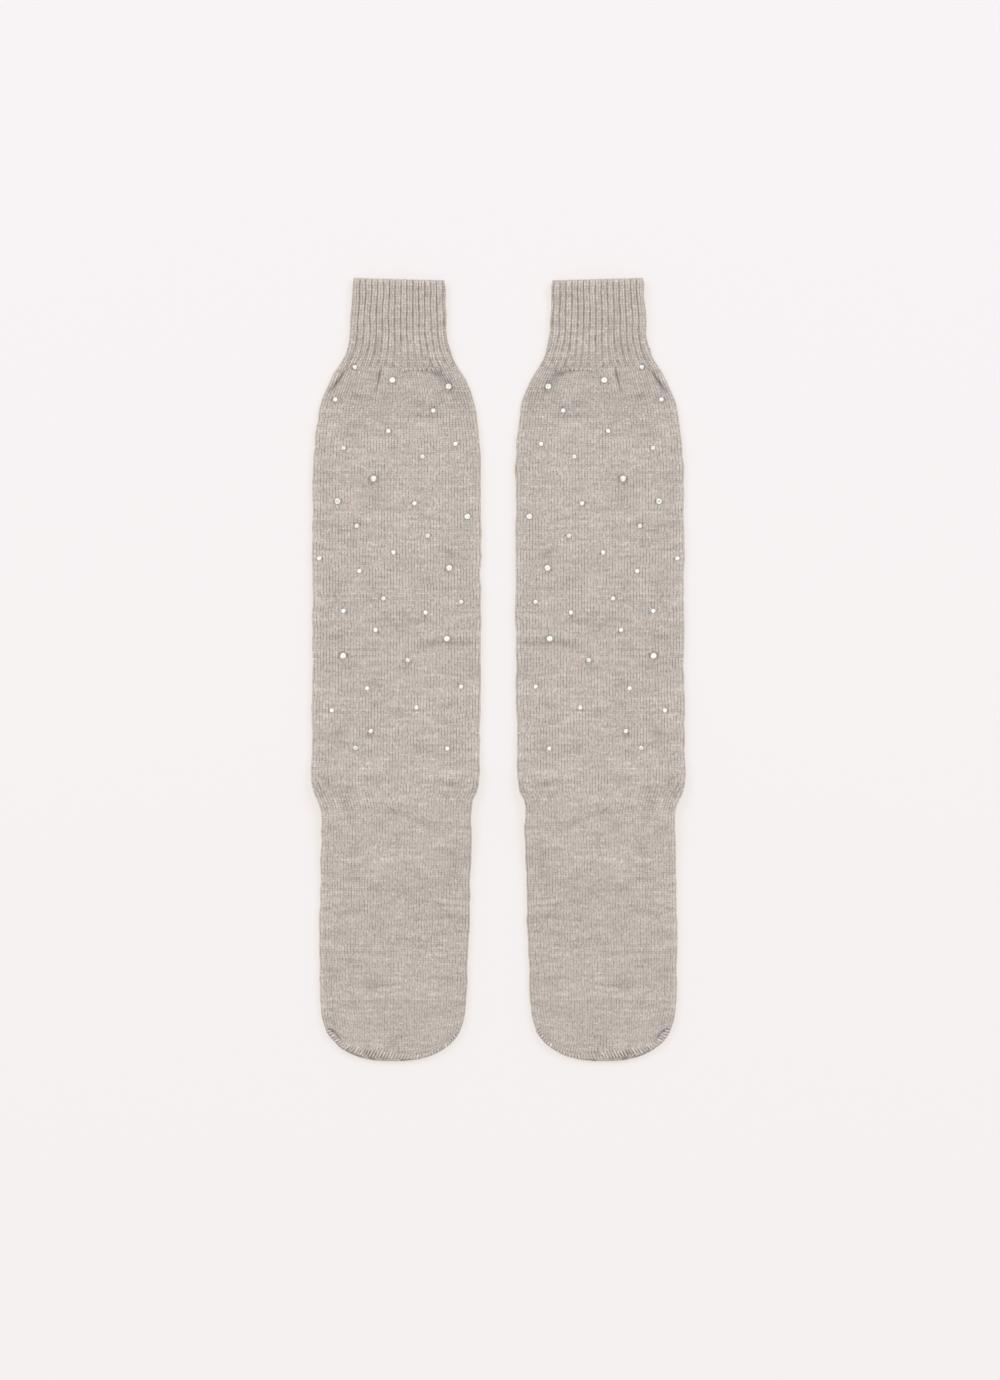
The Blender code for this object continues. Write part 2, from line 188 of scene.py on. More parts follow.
# Each part's slot and how light its yarn is against the rest.
Cloth = namedtuple("Cloth", "slot tone")
CLOTHS = {
    "cuff": Cloth("rib_knit", 1.02),
    "leg": Cloth("leg_knit", 0.985),
    "heel": Cloth("heel_knit", 0.98),
    "foot": Cloth("foot_knit", 1.01),
    "toe": Cloth("toe_knit", 0.97),
    "seam": Cloth("toe_knit", 1.0),
}

# The cuff's ribs, each of two knit wales and two purl ones, counted from the first whole groove on the front.
LEFT_FOLD_RIB = -1.3
RIGHT_FOLD_RIB = 14.5
WALES_PER_RIB = 4
RIB_STEPS = (0.0, 0.5, 1.0, 1.25, 1.5, 1.75, 2.0, 2.25, 2.5, 2.75, 3.0, 3.5)  # its columns, by wale
FOLD_CLEARANCE = 0.3  # how far a column stays from a fold, in wales
CUFF_STRETCH = 1.2  # how much taller the cuff's courses are than the leg's
GROOVE_SHARE = 0.10  # half the groove between two ribs, as a share of a rib, at the cuff's edge
GROOVE_OPEN = 0.17  # and where the ribs run out into the leg
GROOVE_SHADE = 0.62  # how dark the material paints the groove as shade
FAN_REACH = 40.0  # length above the cuff's seam over which the ribs open out
GROOVE_CALM = 0.6  # share of the stitches' height that is lost in the grooves
RIB_END = 1.0  # the ribs run out between this far above the seam
RIB_FADE = 11.0  # and this much further

# The cuff's edge: its last rows, which are calmer, and the loops that bind it.
HEM_HEIGHT = 2.2
HEM_CALM = 0.4  # share of the stitches' height that is lost there
HEM_RIB_CALM = 0.5  # of the ribs' height
HEM_GROOVE_CALM = 0.15  # and of the grooves' painted shade
HEM_LOOP = Loop(1.6, 1.2, 0.95, 0.1)
HEM_PITCH = 1.3  # from one loop to the next
HEM_SEED = 11
HEM_STEPS = 80  # of the line that they are sewn on
HEM_ABOVE = 0.1  # that line is this far above the cuff's edge
HEM_UNDER = 0.25  # and this far under its face
HEM_UP = (0.0, 0.45, 0.9)  # the loops' way up
LOOP_SEGMENTS = 8  # of each loop, both ways
LOOP_UNEVENNESS = 0.2  # how much the loops' sizes vary, as a share
LOOP_COURSES = 200.0  # how many courses of yarn they are drawn from
LOOP_FURROW = (0.1, 0.42)  # how dark the painted shade of the least and the most shaded loops is
COURSE_SEED_STEP = 2
FURROW_SEED_STEP = 3

# The row of purl bumps just under the cuff's seam, clear on part of the front.
PURL_DROP = 1.2  # how far under the seam it is
PURL_WIDTH = 0.85
PURL_MIDDLE = 36.5  # its middle and half its length, in wales
PURL_SPREAD = 11.0
PURL_SQUARENESS = 4  # how sharply it ends at its sides, as a power
PURL_RISE = 1.2  # the bumps' height, as a share of a rib's
PURL_GAP_SHADE = 1.6  # how dark the material paints the gaps between them as shade

# The relief of one stitch, as shares of its height, and what varies it.
YARN_MIDDLE = 0.42  # how high a knit stitch is between its limbs
PURL_SIDES = 0.4  # the height of a purl bump's sides
PURL_TOP = 0.8  # and how much higher its middle is
CLOTH_WAVE_SCALE = 62.0  # of the cloth's soft waves, for each metre
CLOTH_WAVE_DETAIL = 2.0
BROKEN_LEAST = 0.4  # the painted shade in the grooves between the ribs is broken up, course by course: its least depth
BROKEN_RANGE = 1.2  # and how much more the greatest is

# Soft noise over the knit: how fast it changes with each wale and course, which layer it is cut from, its
# detail, and a scale over both.
Pattern = namedtuple("Pattern", "wale course layer detail scale", defaults=(1.0,))
UNEVEN_STITCHES = Pattern(0.9, 0.9, 0.0, 1.0)
SWAYING_YARN = Pattern(0.9, 0.9, 0.0, 2.0, 0.7)
DRIFTING_WALES = Pattern(0.22, 0.13, 5.0, 2.0)
STREAKS = Pattern(0.12, 0.7, 0.0, 2.0)
CLOUDS = Pattern(0.04, 0.11, 3.0, 2.0)
GRAIN = Pattern(1.4, 1.3, 15.0, 1.0)
FIBRES = Pattern(9.0, 5.0, 7.0, 4.0)
WARM_PATCHES = Pattern(0.21, 0.33, 11.0, 2.0)
WARM_GRAIN = Pattern(1.4, 1.3, 23.0, 2.0)
WHOLE_STITCH_LAYER = 9.0  # of the noise that gives each stitch its own colour
WARM_PATCH_SHARE = 2.8  # how strongly the yarn's warmth follows each of the two
WARM_GRAIN_SHARE = 1.8

# How dark the painted shade in a furrow gets by its depth, and how much each stitch's own depth varies that.
FURROW_MOST = 1.2
FURROW_POWER = 1.5
OWN_LEAST = 0.3
OWN_RANGE = 1.4

# The fine relief of what is too flat for real stitches, and of loose fibres, in metres.
FLAT_STITCH = 0.4 * MM
FLAT_STITCH_BASE = 0.35  # share of its height that it keeps between two courses
FLAT_SLANT = 0.6  # its drop from its ends to its point, in courses
FIBRE_RELIEF = 0.22 * MM
RELIEF_STRENGTH = 0.75
YARN_SURFACE = {
    "Roughness": 0.92,
    "Specular IOR Level": 0.2,
    "Sheen Roughness": 0.55,
    "Sheen Tint": (1.0, 0.97, 0.95, 1.0),
}

# Coarser steps of what doesn't show: the resting side and the inside.
REST_STEPS = 24
REST_ROWS = 48
INSIDE_STEPS = 14
INSIDE_ROWS = 24
TOE_REST_ROWS = 16
TOE_INSIDE_ROWS = 8

Section = namedtuple("Section", "along left right")
SECTIONS = (
    Section(37.2, -46.1, 42.0),
    Section(45.0, -46.4, 42.4),
    Section(91.0, -46.4, 44.0),
    Section(138.0, -45.3, 45.2),
    Section(152.0, -46.0, 45.3),
    Section(158.0, -47.9, 46.2),
    Section(162.0, -49.8, 48.5),
    Section(167.0, -51.1, 49.3),
    Section(180.0, -51.3, 49.9),
    Section(240.0, -50.7, 50.7),
    Section(330.0, -50.7, 50.8),
    Section(368.0, -49.8, 50.4),
    Section(388.0, -47.3, 48.5),
    Section(400.0, -44.0, 45.7),
    Section(409.0, -40.0, 41.6),
    Section(416.4, -36.3, 37.4),
    Section(424.0, -31.3, 33.3),
    Section(433.0, -28.3, 30.9),
    Section(447.0, -27.9, 29.9),
    Section(469.8, -26.8, 29.7),
)

# Folds of the front. turn is in degrees from the x axis, length and width are half sizes, depth is down. A
# ridge has a depth below nought.
Fold = namedtuple("Fold", "x along turn length width depth")
# Each fold also paints shade into its trough and light onto its ridge, by its depth over its width.
FOLDS = (
    Fold(0.0, 396.0, 0.0, 62.0, 20.0, 1.3),
    Fold(-35.0, 409.2, 54.0, 6.5, 0.75, 0.85),
    Fold(-36.4, 407.4, 56.0, 9.5, 3.0, 0.4),
    Fold(-37.6, 410.6, 54.0, 7.0, 1.3, -0.35),
    Fold(-10.6, 410.6, 77.0, 6.3, 0.6, 0.6),
    Fold(-11.0, 409.4, 77.0, 8.5, 2.5, 0.35),
    Fold(-7.8, 409.4, 77.0, 7.0, 1.8, -0.3),
    Fold(22.5, 413.4, -10.0, 7.0, 1.8, 0.4),
    Fold(26.6, 411.2, -40.0, 6.0, 3.2, 1.1),
    Fold(29.6, 408.2, -42.0, 5.0, 2.4, 0.5),
    Fold(32.2, 403.6, -72.0, 5.0, 2.4, 0.45),
    Fold(35.2, 398.4, -78.0, 8.0, 2.6, 0.42),
    Fold(9.0, 406.6, -6.0, 12.0, 2.6, -0.35),
    Fold(15.0, 394.5, -10.0, 11.0, 2.0, 0.5),
    Fold(16.8, 387.5, -8.0, 9.0, 1.7, 0.35),
    Fold(-4.0, 398.0, -20.0, 7.0, 2.0, 0.35),
    Fold(-24.0, 400.0, -8.0, 10.0, 2.6, 0.4),
    Fold(42.0, 395.0, 100.0, 10.0, 3.0, 0.4),
    Fold(31.0, 306.0, -28.0, 7.0, 2.2, 0.7),
    Fold(24.0, 312.0, -15.0, 9.0, 2.4, -0.4),
    Fold(22.0, 284.5, -20.0, 6.0, 1.6, 0.4),
    Fold(-35.0, 279.0, 60.0, 9.0, 4.0, 0.4),
    Fold(-8.0, 268.0, -40.0, 13.0, 2.5, 0.35),
    Fold(9.0, 265.0, -4.0, 13.0, 1.7, 0.4),
    Fold(31.0, 257.5, 1.0, 16.0, 1.8, -0.4),
    Fold(32.0, 251.6, 1.0, 18.0, 1.5, 0.5),
    Fold(32.0, 250.0, 4.0, 20.0, 4.0, 0.4),
    Fold(-37.0, 254.0, -3.0, 9.0, 3.0, 0.75),
    Fold(8.0, 246.0, -14.0, 12.0, 2.0, 0.25),
    Fold(-43.0, 236.0, 10.0, 8.0, 4.0, 0.5),
    Fold(-35.5, 196.0, 75.0, 4.0, 2.6, 0.8),
    Fold(-42.5, 168.5, -62.0, 7.0, 2.8, 0.75),
    Fold(-30.5, 153.0, -75.0, 8.0, 2.6, 0.4),
    Fold(-22.0, 163.0, -87.0, 12.0, 2.8, -0.45),
    Fold(31.0, 173.5, 0.0, 13.0, 2.4, -0.35),
    Fold(32.0, 167.0, -9.0, 13.0, 2.2, 0.45),
    Fold(0.0, 150.0, -14.0, 15.0, 4.2, 0.5),
    Fold(18.0, 144.0, -28.0, 11.0, 4.0, 0.5),
    Fold(-2.4, 151.2, -41.0, 2.6, 0.5, 0.35),
    Fold(34.0, 122.0, -80.0, 14.0, 3.4, 0.5),
    Fold(13.3, 132.0, 0.0, 6.0, 3.0, -0.35),
    Fold(-2.0, 122.4, 3.0, 14.0, 2.4, -0.35),
    Fold(-47.6, 163.6, -57.0, 6.0, 0.6, 0.4),
    Fold(-45.6, 165.0, -57.0, 5.5, 0.6, 0.3),
    Fold(46.0, 163.8, 45.0, 6.0, 1.0, 0.4),
    Fold(-29.0, 89.0, 4.0, 14.0, 2.8, 0.55),
    Fold(27.6, 98.0, -5.0, 12.0, 2.6, -0.45),
    Fold(31.6, 87.0, -8.0, 12.0, 2.0, 0.5),
    Fold(11.0, 72.0, -3.0, 16.0, 3.0, 0.6),
    Fold(-14.0, 66.0, 0.0, 17.0, 1.4, 0.25),
    Fold(-11.5, 46.0, 0.0, 12.0, 2.8, 0.35),
    Fold(33.0, 49.0, -4.0, 12.0, 2.6, 0.45),
    Fold(-38.4, 18.8, -24.0, 2.6, 0.8, 0.8),
    Fold(-35.0, 15.4, -45.0, 2.2, 0.7, 0.6),
)

# Folds of the resting side, which stand off the surface by their depth.
REST_FOLDS = (
    Fold(20.0, 398.0, 12.0, 14.0, 4.0, 0.4),
    Fold(-24.0, 352.0, -20.0, 12.0, 5.0, 0.3),
    Fold(12.0, 301.0, 8.0, 18.0, 4.0, 0.4),
    Fold(-28.0, 248.0, -4.0, 16.0, 4.5, 0.45),
    Fold(18.0, 214.0, -12.0, 14.0, 4.0, 0.35),
    Fold(-8.0, 82.0, 6.0, 18.0, 4.0, 0.35),
    Fold(14.0, 52.0, -8.0, 12.0, 4.0, 0.3),
)

# Crystals on the front of the leg, by place. The large ones stand on the frame's own.
Stone = namedtuple("Stone", "x along")
LARGE_STONES = (
    Stone(-2.5, 409.1),
    Stone(31.1, 405.3),
    Stone(-13.8, 349.9),
    Stone(-35.4, 336.3),
    Stone(42.5, 327.1),
    Stone(31.6, 296.2),
    Stone(30.2, 253.9),
    Stone(-32.1, 243.5),
)
SMALL_STONES = (
    Stone(-25.0, 416.9),
    Stone(-36.8, 397.4),
    Stone(22.1, 390.8),
    Stone(-4.9, 378.5),
    Stone(35.4, 370.7),
    Stone(-31.8, 368.3),
    Stone(15.5, 363.1),
    Stone(10.8, 335.0),
    Stone(-23.9, 321.5),
    Stone(18.7, 315.5),
    Stone(-1.8, 305.6),
    Stone(-46.4, 302.0),
    Stone(-22.3, 294.4),
    Stone(-7.8, 277.9),
    Stone(38.8, 275.9),
    Stone(-31.9, 270.4),
    Stone(17.4, 269.5),
    Stone(-12.6, 259.1),
    Stone(6.8, 241.0),
    Stone(38.7, 225.0),
    Stone(-17.7, 224.0),
    Stone(11.9, 212.5),
    Stone(-38.9, 210.7),
    Stone(-15.5, 198.3),
    Stone(-24.7, 188.2),
    Stone(30.5, 187.8),
)
STONE_SIDES = 8

# Round a crystal, in its radii: the stitches are flat under it, with a faint ring of painted shade just clear
# of it.
STONE_FLAT = 0.8
STONE_EASE = 0.4
STONE_RING = 1.25
STONE_SHADE = 0.5
STONE_LIFT = 0.1  # how far it stands off the cloth's own face
SLOPE_REACH = 1.5  # over how much cloth its tilt is measured

# A crystal's cut, for a radius of 1, and the painted flash and shade of its facets.
CutRing = namedtuple("CutRing", "radius z sides turn")
STONE_CUT = (
    CutRing(0.94, 0.0, 2, 0.0),
    CutRing(1.0, 0.14, 2, 0.0),
    CutRing(0.84, 0.36, 2, 0.0),
    CutRing(0.42, 1.0, 1, 0.5),
)
GIRDLE_TOP = 0.3  # faces whose middle is lower than this are its edge
FACET_STEP = 0.618  # from one facet's value to the next one's
FLASH_BY_FACET = 3.7
FLASH_BY_STONE = 5.0
FLASH_POWER = 0.55
GLINT_SEED_STEP = 7
# The glass's emission is its facets' painted glow.
GLASS_SURFACE = {
    "Emission Strength": 1.0,
    "Metallic": 0.15,
    "Roughness": 0.06,
    "Coat Weight": 1.0,
    "Coat Roughness": 0.02,
}

# The studio: a pale lit surface, two wide soft lights and a camera straight above. Lengths are in metres.
FLOOR_SIZE = 6.0
FLOOR_DROP = 0.0002  # how far it lies under the socks, so that no two faces are one
FLOOR_SURFACE = {"Roughness": 0.9, "Specular IOR Level": 0.1, "Emission Strength": 1.0}
ROOM_COLOUR = (1.0, 0.99, 0.985, 1.0)
KEY_PLACE = (-2.2, 1.3, 2.4)
FILL_PLACE = (2.2, 1.3, 2.4)
LIGHT_SIZE = 1.6
SENSOR_WIDTH = 36.0  # in millimetres, as a lens is
CAMERA_X = 0.00102
CAMERA_Y = -0.0119


# --------------------------------------------------------------------------------------------------
# The sock's form
# --------------------------------------------------------------------------------------------------


def ease(share):
    """1 at 0, falling smoothly to 0 at 1 and beyond."""
    return 0.5 + 0.5 * np.cos(np.pi * np.clip(share, 0.0, 1.0))


def curve_shares(t):
    """How a smooth curve from one point to the next is mixed at t, 0 to 1: the share of its rise, and those
    of the slopes at its start and its end."""
    return t * t * (3.0 - 2.0 * t), t - 2.0 * t * t + t**3, t**3 - t * t


def smooth_value(along, column):
    """A column of SECTIONS between its rows, on a smooth curve through them."""
    places = np.array([row.along for row in SECTIONS])
    values = np.array([getattr(row, column) for row in SECTIONS])
    last = len(SECTIONS) - 1
    before = np.maximum(np.arange(last + 1) - 1, 0)
    after = np.minimum(np.arange(last + 1) + 1, last)
    slopes = (values[after] - values[before]) / (places[after] - places[before])
    at = np.clip(along, places[0], places[last])
    here = np.clip(np.searchsorted(places, at, side="right") - 1, 0, last - 1)
    span = places[here + 1] - places[here]
    rise, start, end = curve_shares((at - places[here]) / span)
    level = values[here] * (1.0 - rise) + values[here + 1] * rise
    return level + start * span * slopes[here] + end * span * slopes[here + 1]


def edge_wander(along, phase):
    """How a knitted edge wavers, a fraction of a millimetre."""
    return sum(wave.depth * np.sin(along / wave.length + wave.turns * phase) for wave in EDGE_WAVES)


def edges(along):
    """Where the left and the right side of the sock are."""
    inset = EDGE_INSET + RIB_INSET * (1.0 - ease((along - CUFF_SEAM) / FAN_REACH))
    left = smooth_value(along, "left") + edge_wander(along, LEFT_PHASE) + inset
    right = smooth_value(along, "right") + edge_wander(along, RIGHT_PHASE) - inset
    return left, right


def drape(x, along):
    """How far the heel pocket underneath lifts the cloth, which comes down softly beside it."""
    down = HEEL_LINE - along
    across = np.abs(x - POUCH_MIDDLE)
    half = POUCH_BASE + (POUCH_TIP - POUCH_BASE) * np.clip(down, 0.0, POUCH_LENGTH) / POUCH_LENGTH
    taper = math.atan2(POUCH_BASE - POUCH_TIP, POUCH_LENGTH)
    beside = np.maximum(across - half, 0.0) * math.cos(taper)
    beyond = np.maximum(down - POUCH_LENGTH, 0.0)
    past = np.maximum(np.hypot(beside, beyond) - DRAPE_MARGIN, 0.0) / DRAPE_REACH
    above = np.maximum(-down, 0.0) / LEG_REACH
    return (POUCH_HEIGHT + POUCH_GAP) * ease(np.hypot(past, above))


def fold_shape(fold, x, along):
    """1 in the middle of a fold, falling off along it and across it."""
    turn = math.radians(fold.turn)
    from_x = x - fold.x
    from_along = along - fold.along
    run = (from_x * math.cos(turn) + from_along * math.sin(turn)) / fold.length
    side = (from_along * math.cos(turn) - from_x * math.sin(turn)) / fold.width
    return np.exp(-run * run - side * side)


def fold_depth(folds, x, along):
    """How far down the folds take the cloth."""
    return sum(fold.depth * fold_shape(fold, x, along) for fold in folds)


def hollow(x, along):
    """The folds' painted shading: painted shade up to 1 in a sharp trough, and painted light below 0 on a
    ridge.
    """
    depth = sum(fold.depth / fold.width * fold_shape(fold, x, along) for fold in FOLDS)
    return np.clip(depth, RIDGE_LIMIT, TROUGH_LIMIT)


def edge_light(x, along, near):
    """Painted light on the sock's edges, standing in for the nap's sheen. near is how far a point is inside
    them.
    """
    inner = np.where(x > 0.0, INNER_LIGHT * (1.0 - ease((along - INNER_START) / INNER_RISE)), 1.0)
    return EDGE_LIGHT * ease(near / EDGE_REACH) * inner * ease((along - LIGHT_END) / LIGHT_FADE)


def mouth_rise(along):
    """How much higher the cuff stands towards its mouth."""
    return MOUTH_LIFT * ease((SOCK_LENGTH - along) / MOUTH_REACH)


def top_level(x, along):
    """The height of the front."""
    return TUBE_HEIGHT - SKIN_INSET + drape(x, along) + mouth_rise(along) - fold_depth(FOLDS, x, along)


def base_level(x, along, on_pouch):
    """The height of the resting side: the surface, or on the foot the heel pocket and then the surface."""
    return drape(x, along) if on_pouch else np.zeros(np.broadcast(x, along).shape)


def front_of_tube(wale, along, on_pouch=False):
    """Points from under the left fold, over the front, to under the right one. wale is a grid, along a
    column."""
    left, right = edges(along)
    radius = SIDE_RADIUS
    quarter = QUARTER_TURN * radius
    span = right - left - 2.0 * radius + 2.0 * quarter
    run = np.clip(wale / WALES, 0.0, 1.0) * span
    turn_left = np.clip(run / radius, 0.0, QUARTER_TURN)
    turn_right = np.clip((span - run) / radius, 0.0, QUARTER_TURN)
    under_left = np.clip(-wale / LOWER_WALES, 0.0, 1.0) * QUARTER_TURN
    under_right = np.clip((wale - WALES) / LOWER_WALES, 0.0, 1.0) * QUARTER_TURN
    x = left + radius + np.clip(run - quarter, 0.0, span - 2.0 * quarter)
    x = x - radius * np.cos(np.maximum(turn_left, under_left))
    x = x + radius * np.cos(np.maximum(turn_right, under_right))
    level_x = np.clip(x, left + radius, right - radius)
    top = top_level(level_x, along)
    base = base_level(level_x, along, on_pouch)
    middle = top - radius
    up = np.minimum(np.sin(turn_left), np.sin(turn_right))
    under = np.maximum(np.sin(under_left), np.sin(under_right))
    z = middle + radius * up - (middle - base) * under
    return np.stack([x, np.broadcast_to(along, x.shape), z], axis=-1)


def rest_of_tube(share, along, on_pouch=False):
    """Points across the resting side, from the right fold to the left one."""
    left, right = edges(along)
    start = right - SIDE_RADIUS
    end = left + SIDE_RADIUS
    x = start + (end - start) * share
    z = base_level(x, along, on_pouch) + fold_depth(REST_FOLDS, x, along) * np.sin(math.pi * share)
    return np.stack([x, np.broadcast_to(along, x.shape), z], axis=-1)


def inside_of_tube(share, along, on_pouch=False):
    """Closed rings of the inner face: over from left to right, then back underneath."""
    left, right = edges(along)
    across = 1.0 - np.abs(1.0 - 2.0 * share)
    start = left + WALL
    x = start + (right - WALL - start) * across
    level_x = np.clip(x, left + SIDE_RADIUS, right - SIDE_RADIUS)
    top = top_level(level_x, along) + SKIN_INSET
    base = base_level(level_x, along, on_pouch)
    slack = np.maximum(top - base - 2.0 * WALL, LEAST_SLACK)
    flatness = np.sqrt(np.clip(np.sin(np.pi * across), 0.0, 1.0))
    z = 0.5 * (top + base) + np.where(share < 0.5, 0.5, -0.5) * slack * flatness
    return np.stack([x, np.broadcast_to(along, x.shape), z], axis=-1)


# --------------------------------------------------------------------------------------------------
# Closed walls out of grids of points
# --------------------------------------------------------------------------------------------------


def grid_normals(points):
    """The way out of a grid of points, which for the sock's front is up. At the ends it leans neither up nor
    down the sock, so that the next piece's is the same."""
    across = np.gradient(points, axis=1)
    down = np.gradient(points, axis=0)
    down[0] = down[-1] = (0.0, -1.0, 0.0)
    normal = np.cross(down, across)
    normal /= np.maximum(np.linalg.norm(normal, axis=-1, keepdims=True), TINY)
    if normal[:, normal.shape[1] // 2, 2].mean() < 0.0:
        normal = -normal
    return normal


def in_pair(points, side):
    """One sock's points in the pair's frame, in metres."""
    placed = np.array(points, float)
    placed[:, 0] = side * SOCK_MIDDLE - side * placed[:, 0]
    placed[:, 1] -= 0.5 * SOCK_LENGTH
    return (placed * MM).tolist()


def mark(data, name, values, domain="POINT"):
    """Keeps a value, or a direction of three, for each point or face of a mesh."""
    values = np.asarray(values, np.float32)
    kind, field = ("FLOAT", "value") if values.ndim == 1 else ("FLOAT_VECTOR", "vector")
    data.attributes.new(name, kind, domain).data.foreach_set(field, values.reshape(-1))


def mark_up(data, up, side):
    """Keeps which way is up at each point of one sock's mesh, turned into the pair's frame."""
    mark(data, "up", np.array(up, float) * np.array([-side, 1.0, 1.0]))


class Wall:
    """The points and faces of one closed wall, with each point's place in the knit."""

    def __init__(self):
        self.points = []
        self.knit = {name: [] for name in ("wale", "course", "strength", "rise", "groove", "purl", "hollow")}
        self.up = []
        self.faces = []
        self.rims = []
        self.count = 0

    def add(self, points, wale, course, strength=0.0, rise=0.0, groove=0.0, purl=0.0, up=None, hollow=0.0):
        """Adds a grid of points and gives back their numbers."""
        shape = points.shape[:-1]
        number = np.arange(self.count, self.count + points[..., 0].size).reshape(shape)
        self.count += number.size
        self.points.append(points.reshape(-1, 3))
        for name, value in zip(self.knit, (wale, course, strength, rise, groove, purl, hollow)):
            self.knit[name].append(np.broadcast_to(value, shape).reshape(-1))
        out = np.zeros(points.shape) if up is None else up
        self.up.append(out.reshape(-1, 3))
        return number

    def weave(self, number):
        """Faces between the neighbours of a grid."""
        quads = np.stack([number[:-1, :-1], number[:-1, 1:], number[1:, 1:], number[1:, :-1]], axis=-1)
        self.faces.extend(quads.reshape(-1, 4).tolist())

    def zip(self, first, first_at, second, second_at):
        """Triangles between two lines of points, each with its places along the pair."""
        a = b = 0
        while a < len(first) - 1 or b < len(second) - 1:
            next_a = first_at[a + 1] if a < len(first) - 1 else math.inf
            next_b = second_at[b + 1] if b < len(second) - 1 else math.inf
            if next_a <= next_b:
                self.faces.append([int(first[a]), int(first[a + 1]), int(second[b])])
                a += 1
            else:
                self.faces.append([int(first[a]), int(second[b + 1]), int(second[b])])
                b += 1

    def rim(self, line):
        """Marks a line of points as an edge where two faces meet sharply."""
        self.rims.append(np.asarray(line))

    def mesh(self, name, side):
        """The wall as a mesh in the pair's frame, with its faces pointing out."""
        data = bpy.data.meshes.new(name)
        data.from_pydata(in_pair(np.concatenate(self.points), side), [], self.faces)
        for attribute, values in self.knit.items():
            mark(data, attribute, np.concatenate(values))
        mark_up(data, np.concatenate(self.up), side)
        shell = bmesh.new()
        shell.from_mesh(data)
        bmesh.ops.recalc_face_normals(shell, faces=shell.faces)
        shell.verts.ensure_lookup_table()
        for line in self.rims:
            for one, other in zip(line[:-1], line[1:]):
                edge = shell.edges.get((shell.verts[int(one)], shell.verts[int(other)]))
                if edge is not None:
                    edge.smooth = False
        shell.to_mesh(data)
        shell.free()
        data.shade_smooth()
        return data


def nearest_stone(x, along):
    """How far the nearest crystal's middle is, in its radii."""
    nearest = np.full(np.broadcast(x, along).shape, np.inf)
    sizes = bpy.context.scene.sock_crystals
    for stones, radius in ((LARGE_STONES, sizes.large_radius / MM), (SMALL_STONES, sizes.small_radius / MM)):
        for stone in stones:
            nearest = np.minimum(nearest, np.hypot(x - stone.x, along - stone.along) / radius)
    return nearest


def course_height():
    """The height of a course, in millimetres."""
    return bpy.context.scene.sock_knit.course_height / MM


def course_count(start, end):
    """How many courses a stretch of sock has."""
    return round((end - start) / course_height())


def first_course(end):
    """The number of a piece's first course, counted down the sock from its hem."""
    lines = (SOCK_LENGTH, CUFF_SEAM, HEEL_LINE, TOE_LINE)
    above = [course_count(low, high) for high, low in zip(lines, lines[1:]) if low >= end - SAME_PLACE]
    return sum(above)


def course_rows(start, end, stretch=1.0):
    """Places along a stretch of knit, with the number of the course at each. stretch makes them taller."""
    courses = round(course_count(start, end) / stretch)
    first = first_course(end)
    rows = np.linspace(end, start, courses * STEPS_PER_COURSE + 1)
    return rows[:, None], np.linspace(first, first + courses, len(rows))[:, None]


def seam_fade(rows):
    """0 where the leg meets the cuff, because the two don't have the same wales there, and 1 away from it."""
    return np.clip(np.abs(rows - CUFF_SEAM) / SEAM_REACH, 0.0, 1.0)


def lean_hem(points):
    """Lets the cuff's edge run down to the right."""
    left, _ = edges(points[..., 1])
    points[..., 1] += HEM_SLOPE * (points[..., 0] - left) * ease((SOCK_LENGTH - points[..., 1]) / HEM_REACH)
    return points


def fold_fade(wale):
    """The stitches fade as they turn under each fold, where the sock rests."""
    under = np.maximum(-wale, wale - WALES) / LOWER_WALES
    return ease(under)


def between(ends, count):
    """A column of even steps from the first of a column to its last."""
    return np.linspace(ends[0, 0], ends[-1, 0], count + 1)[:, None]


def ring_line(numbers):
    """A closed line of points: the numbers, with the first once more at the end."""
    return np.append(numbers, numbers[0])


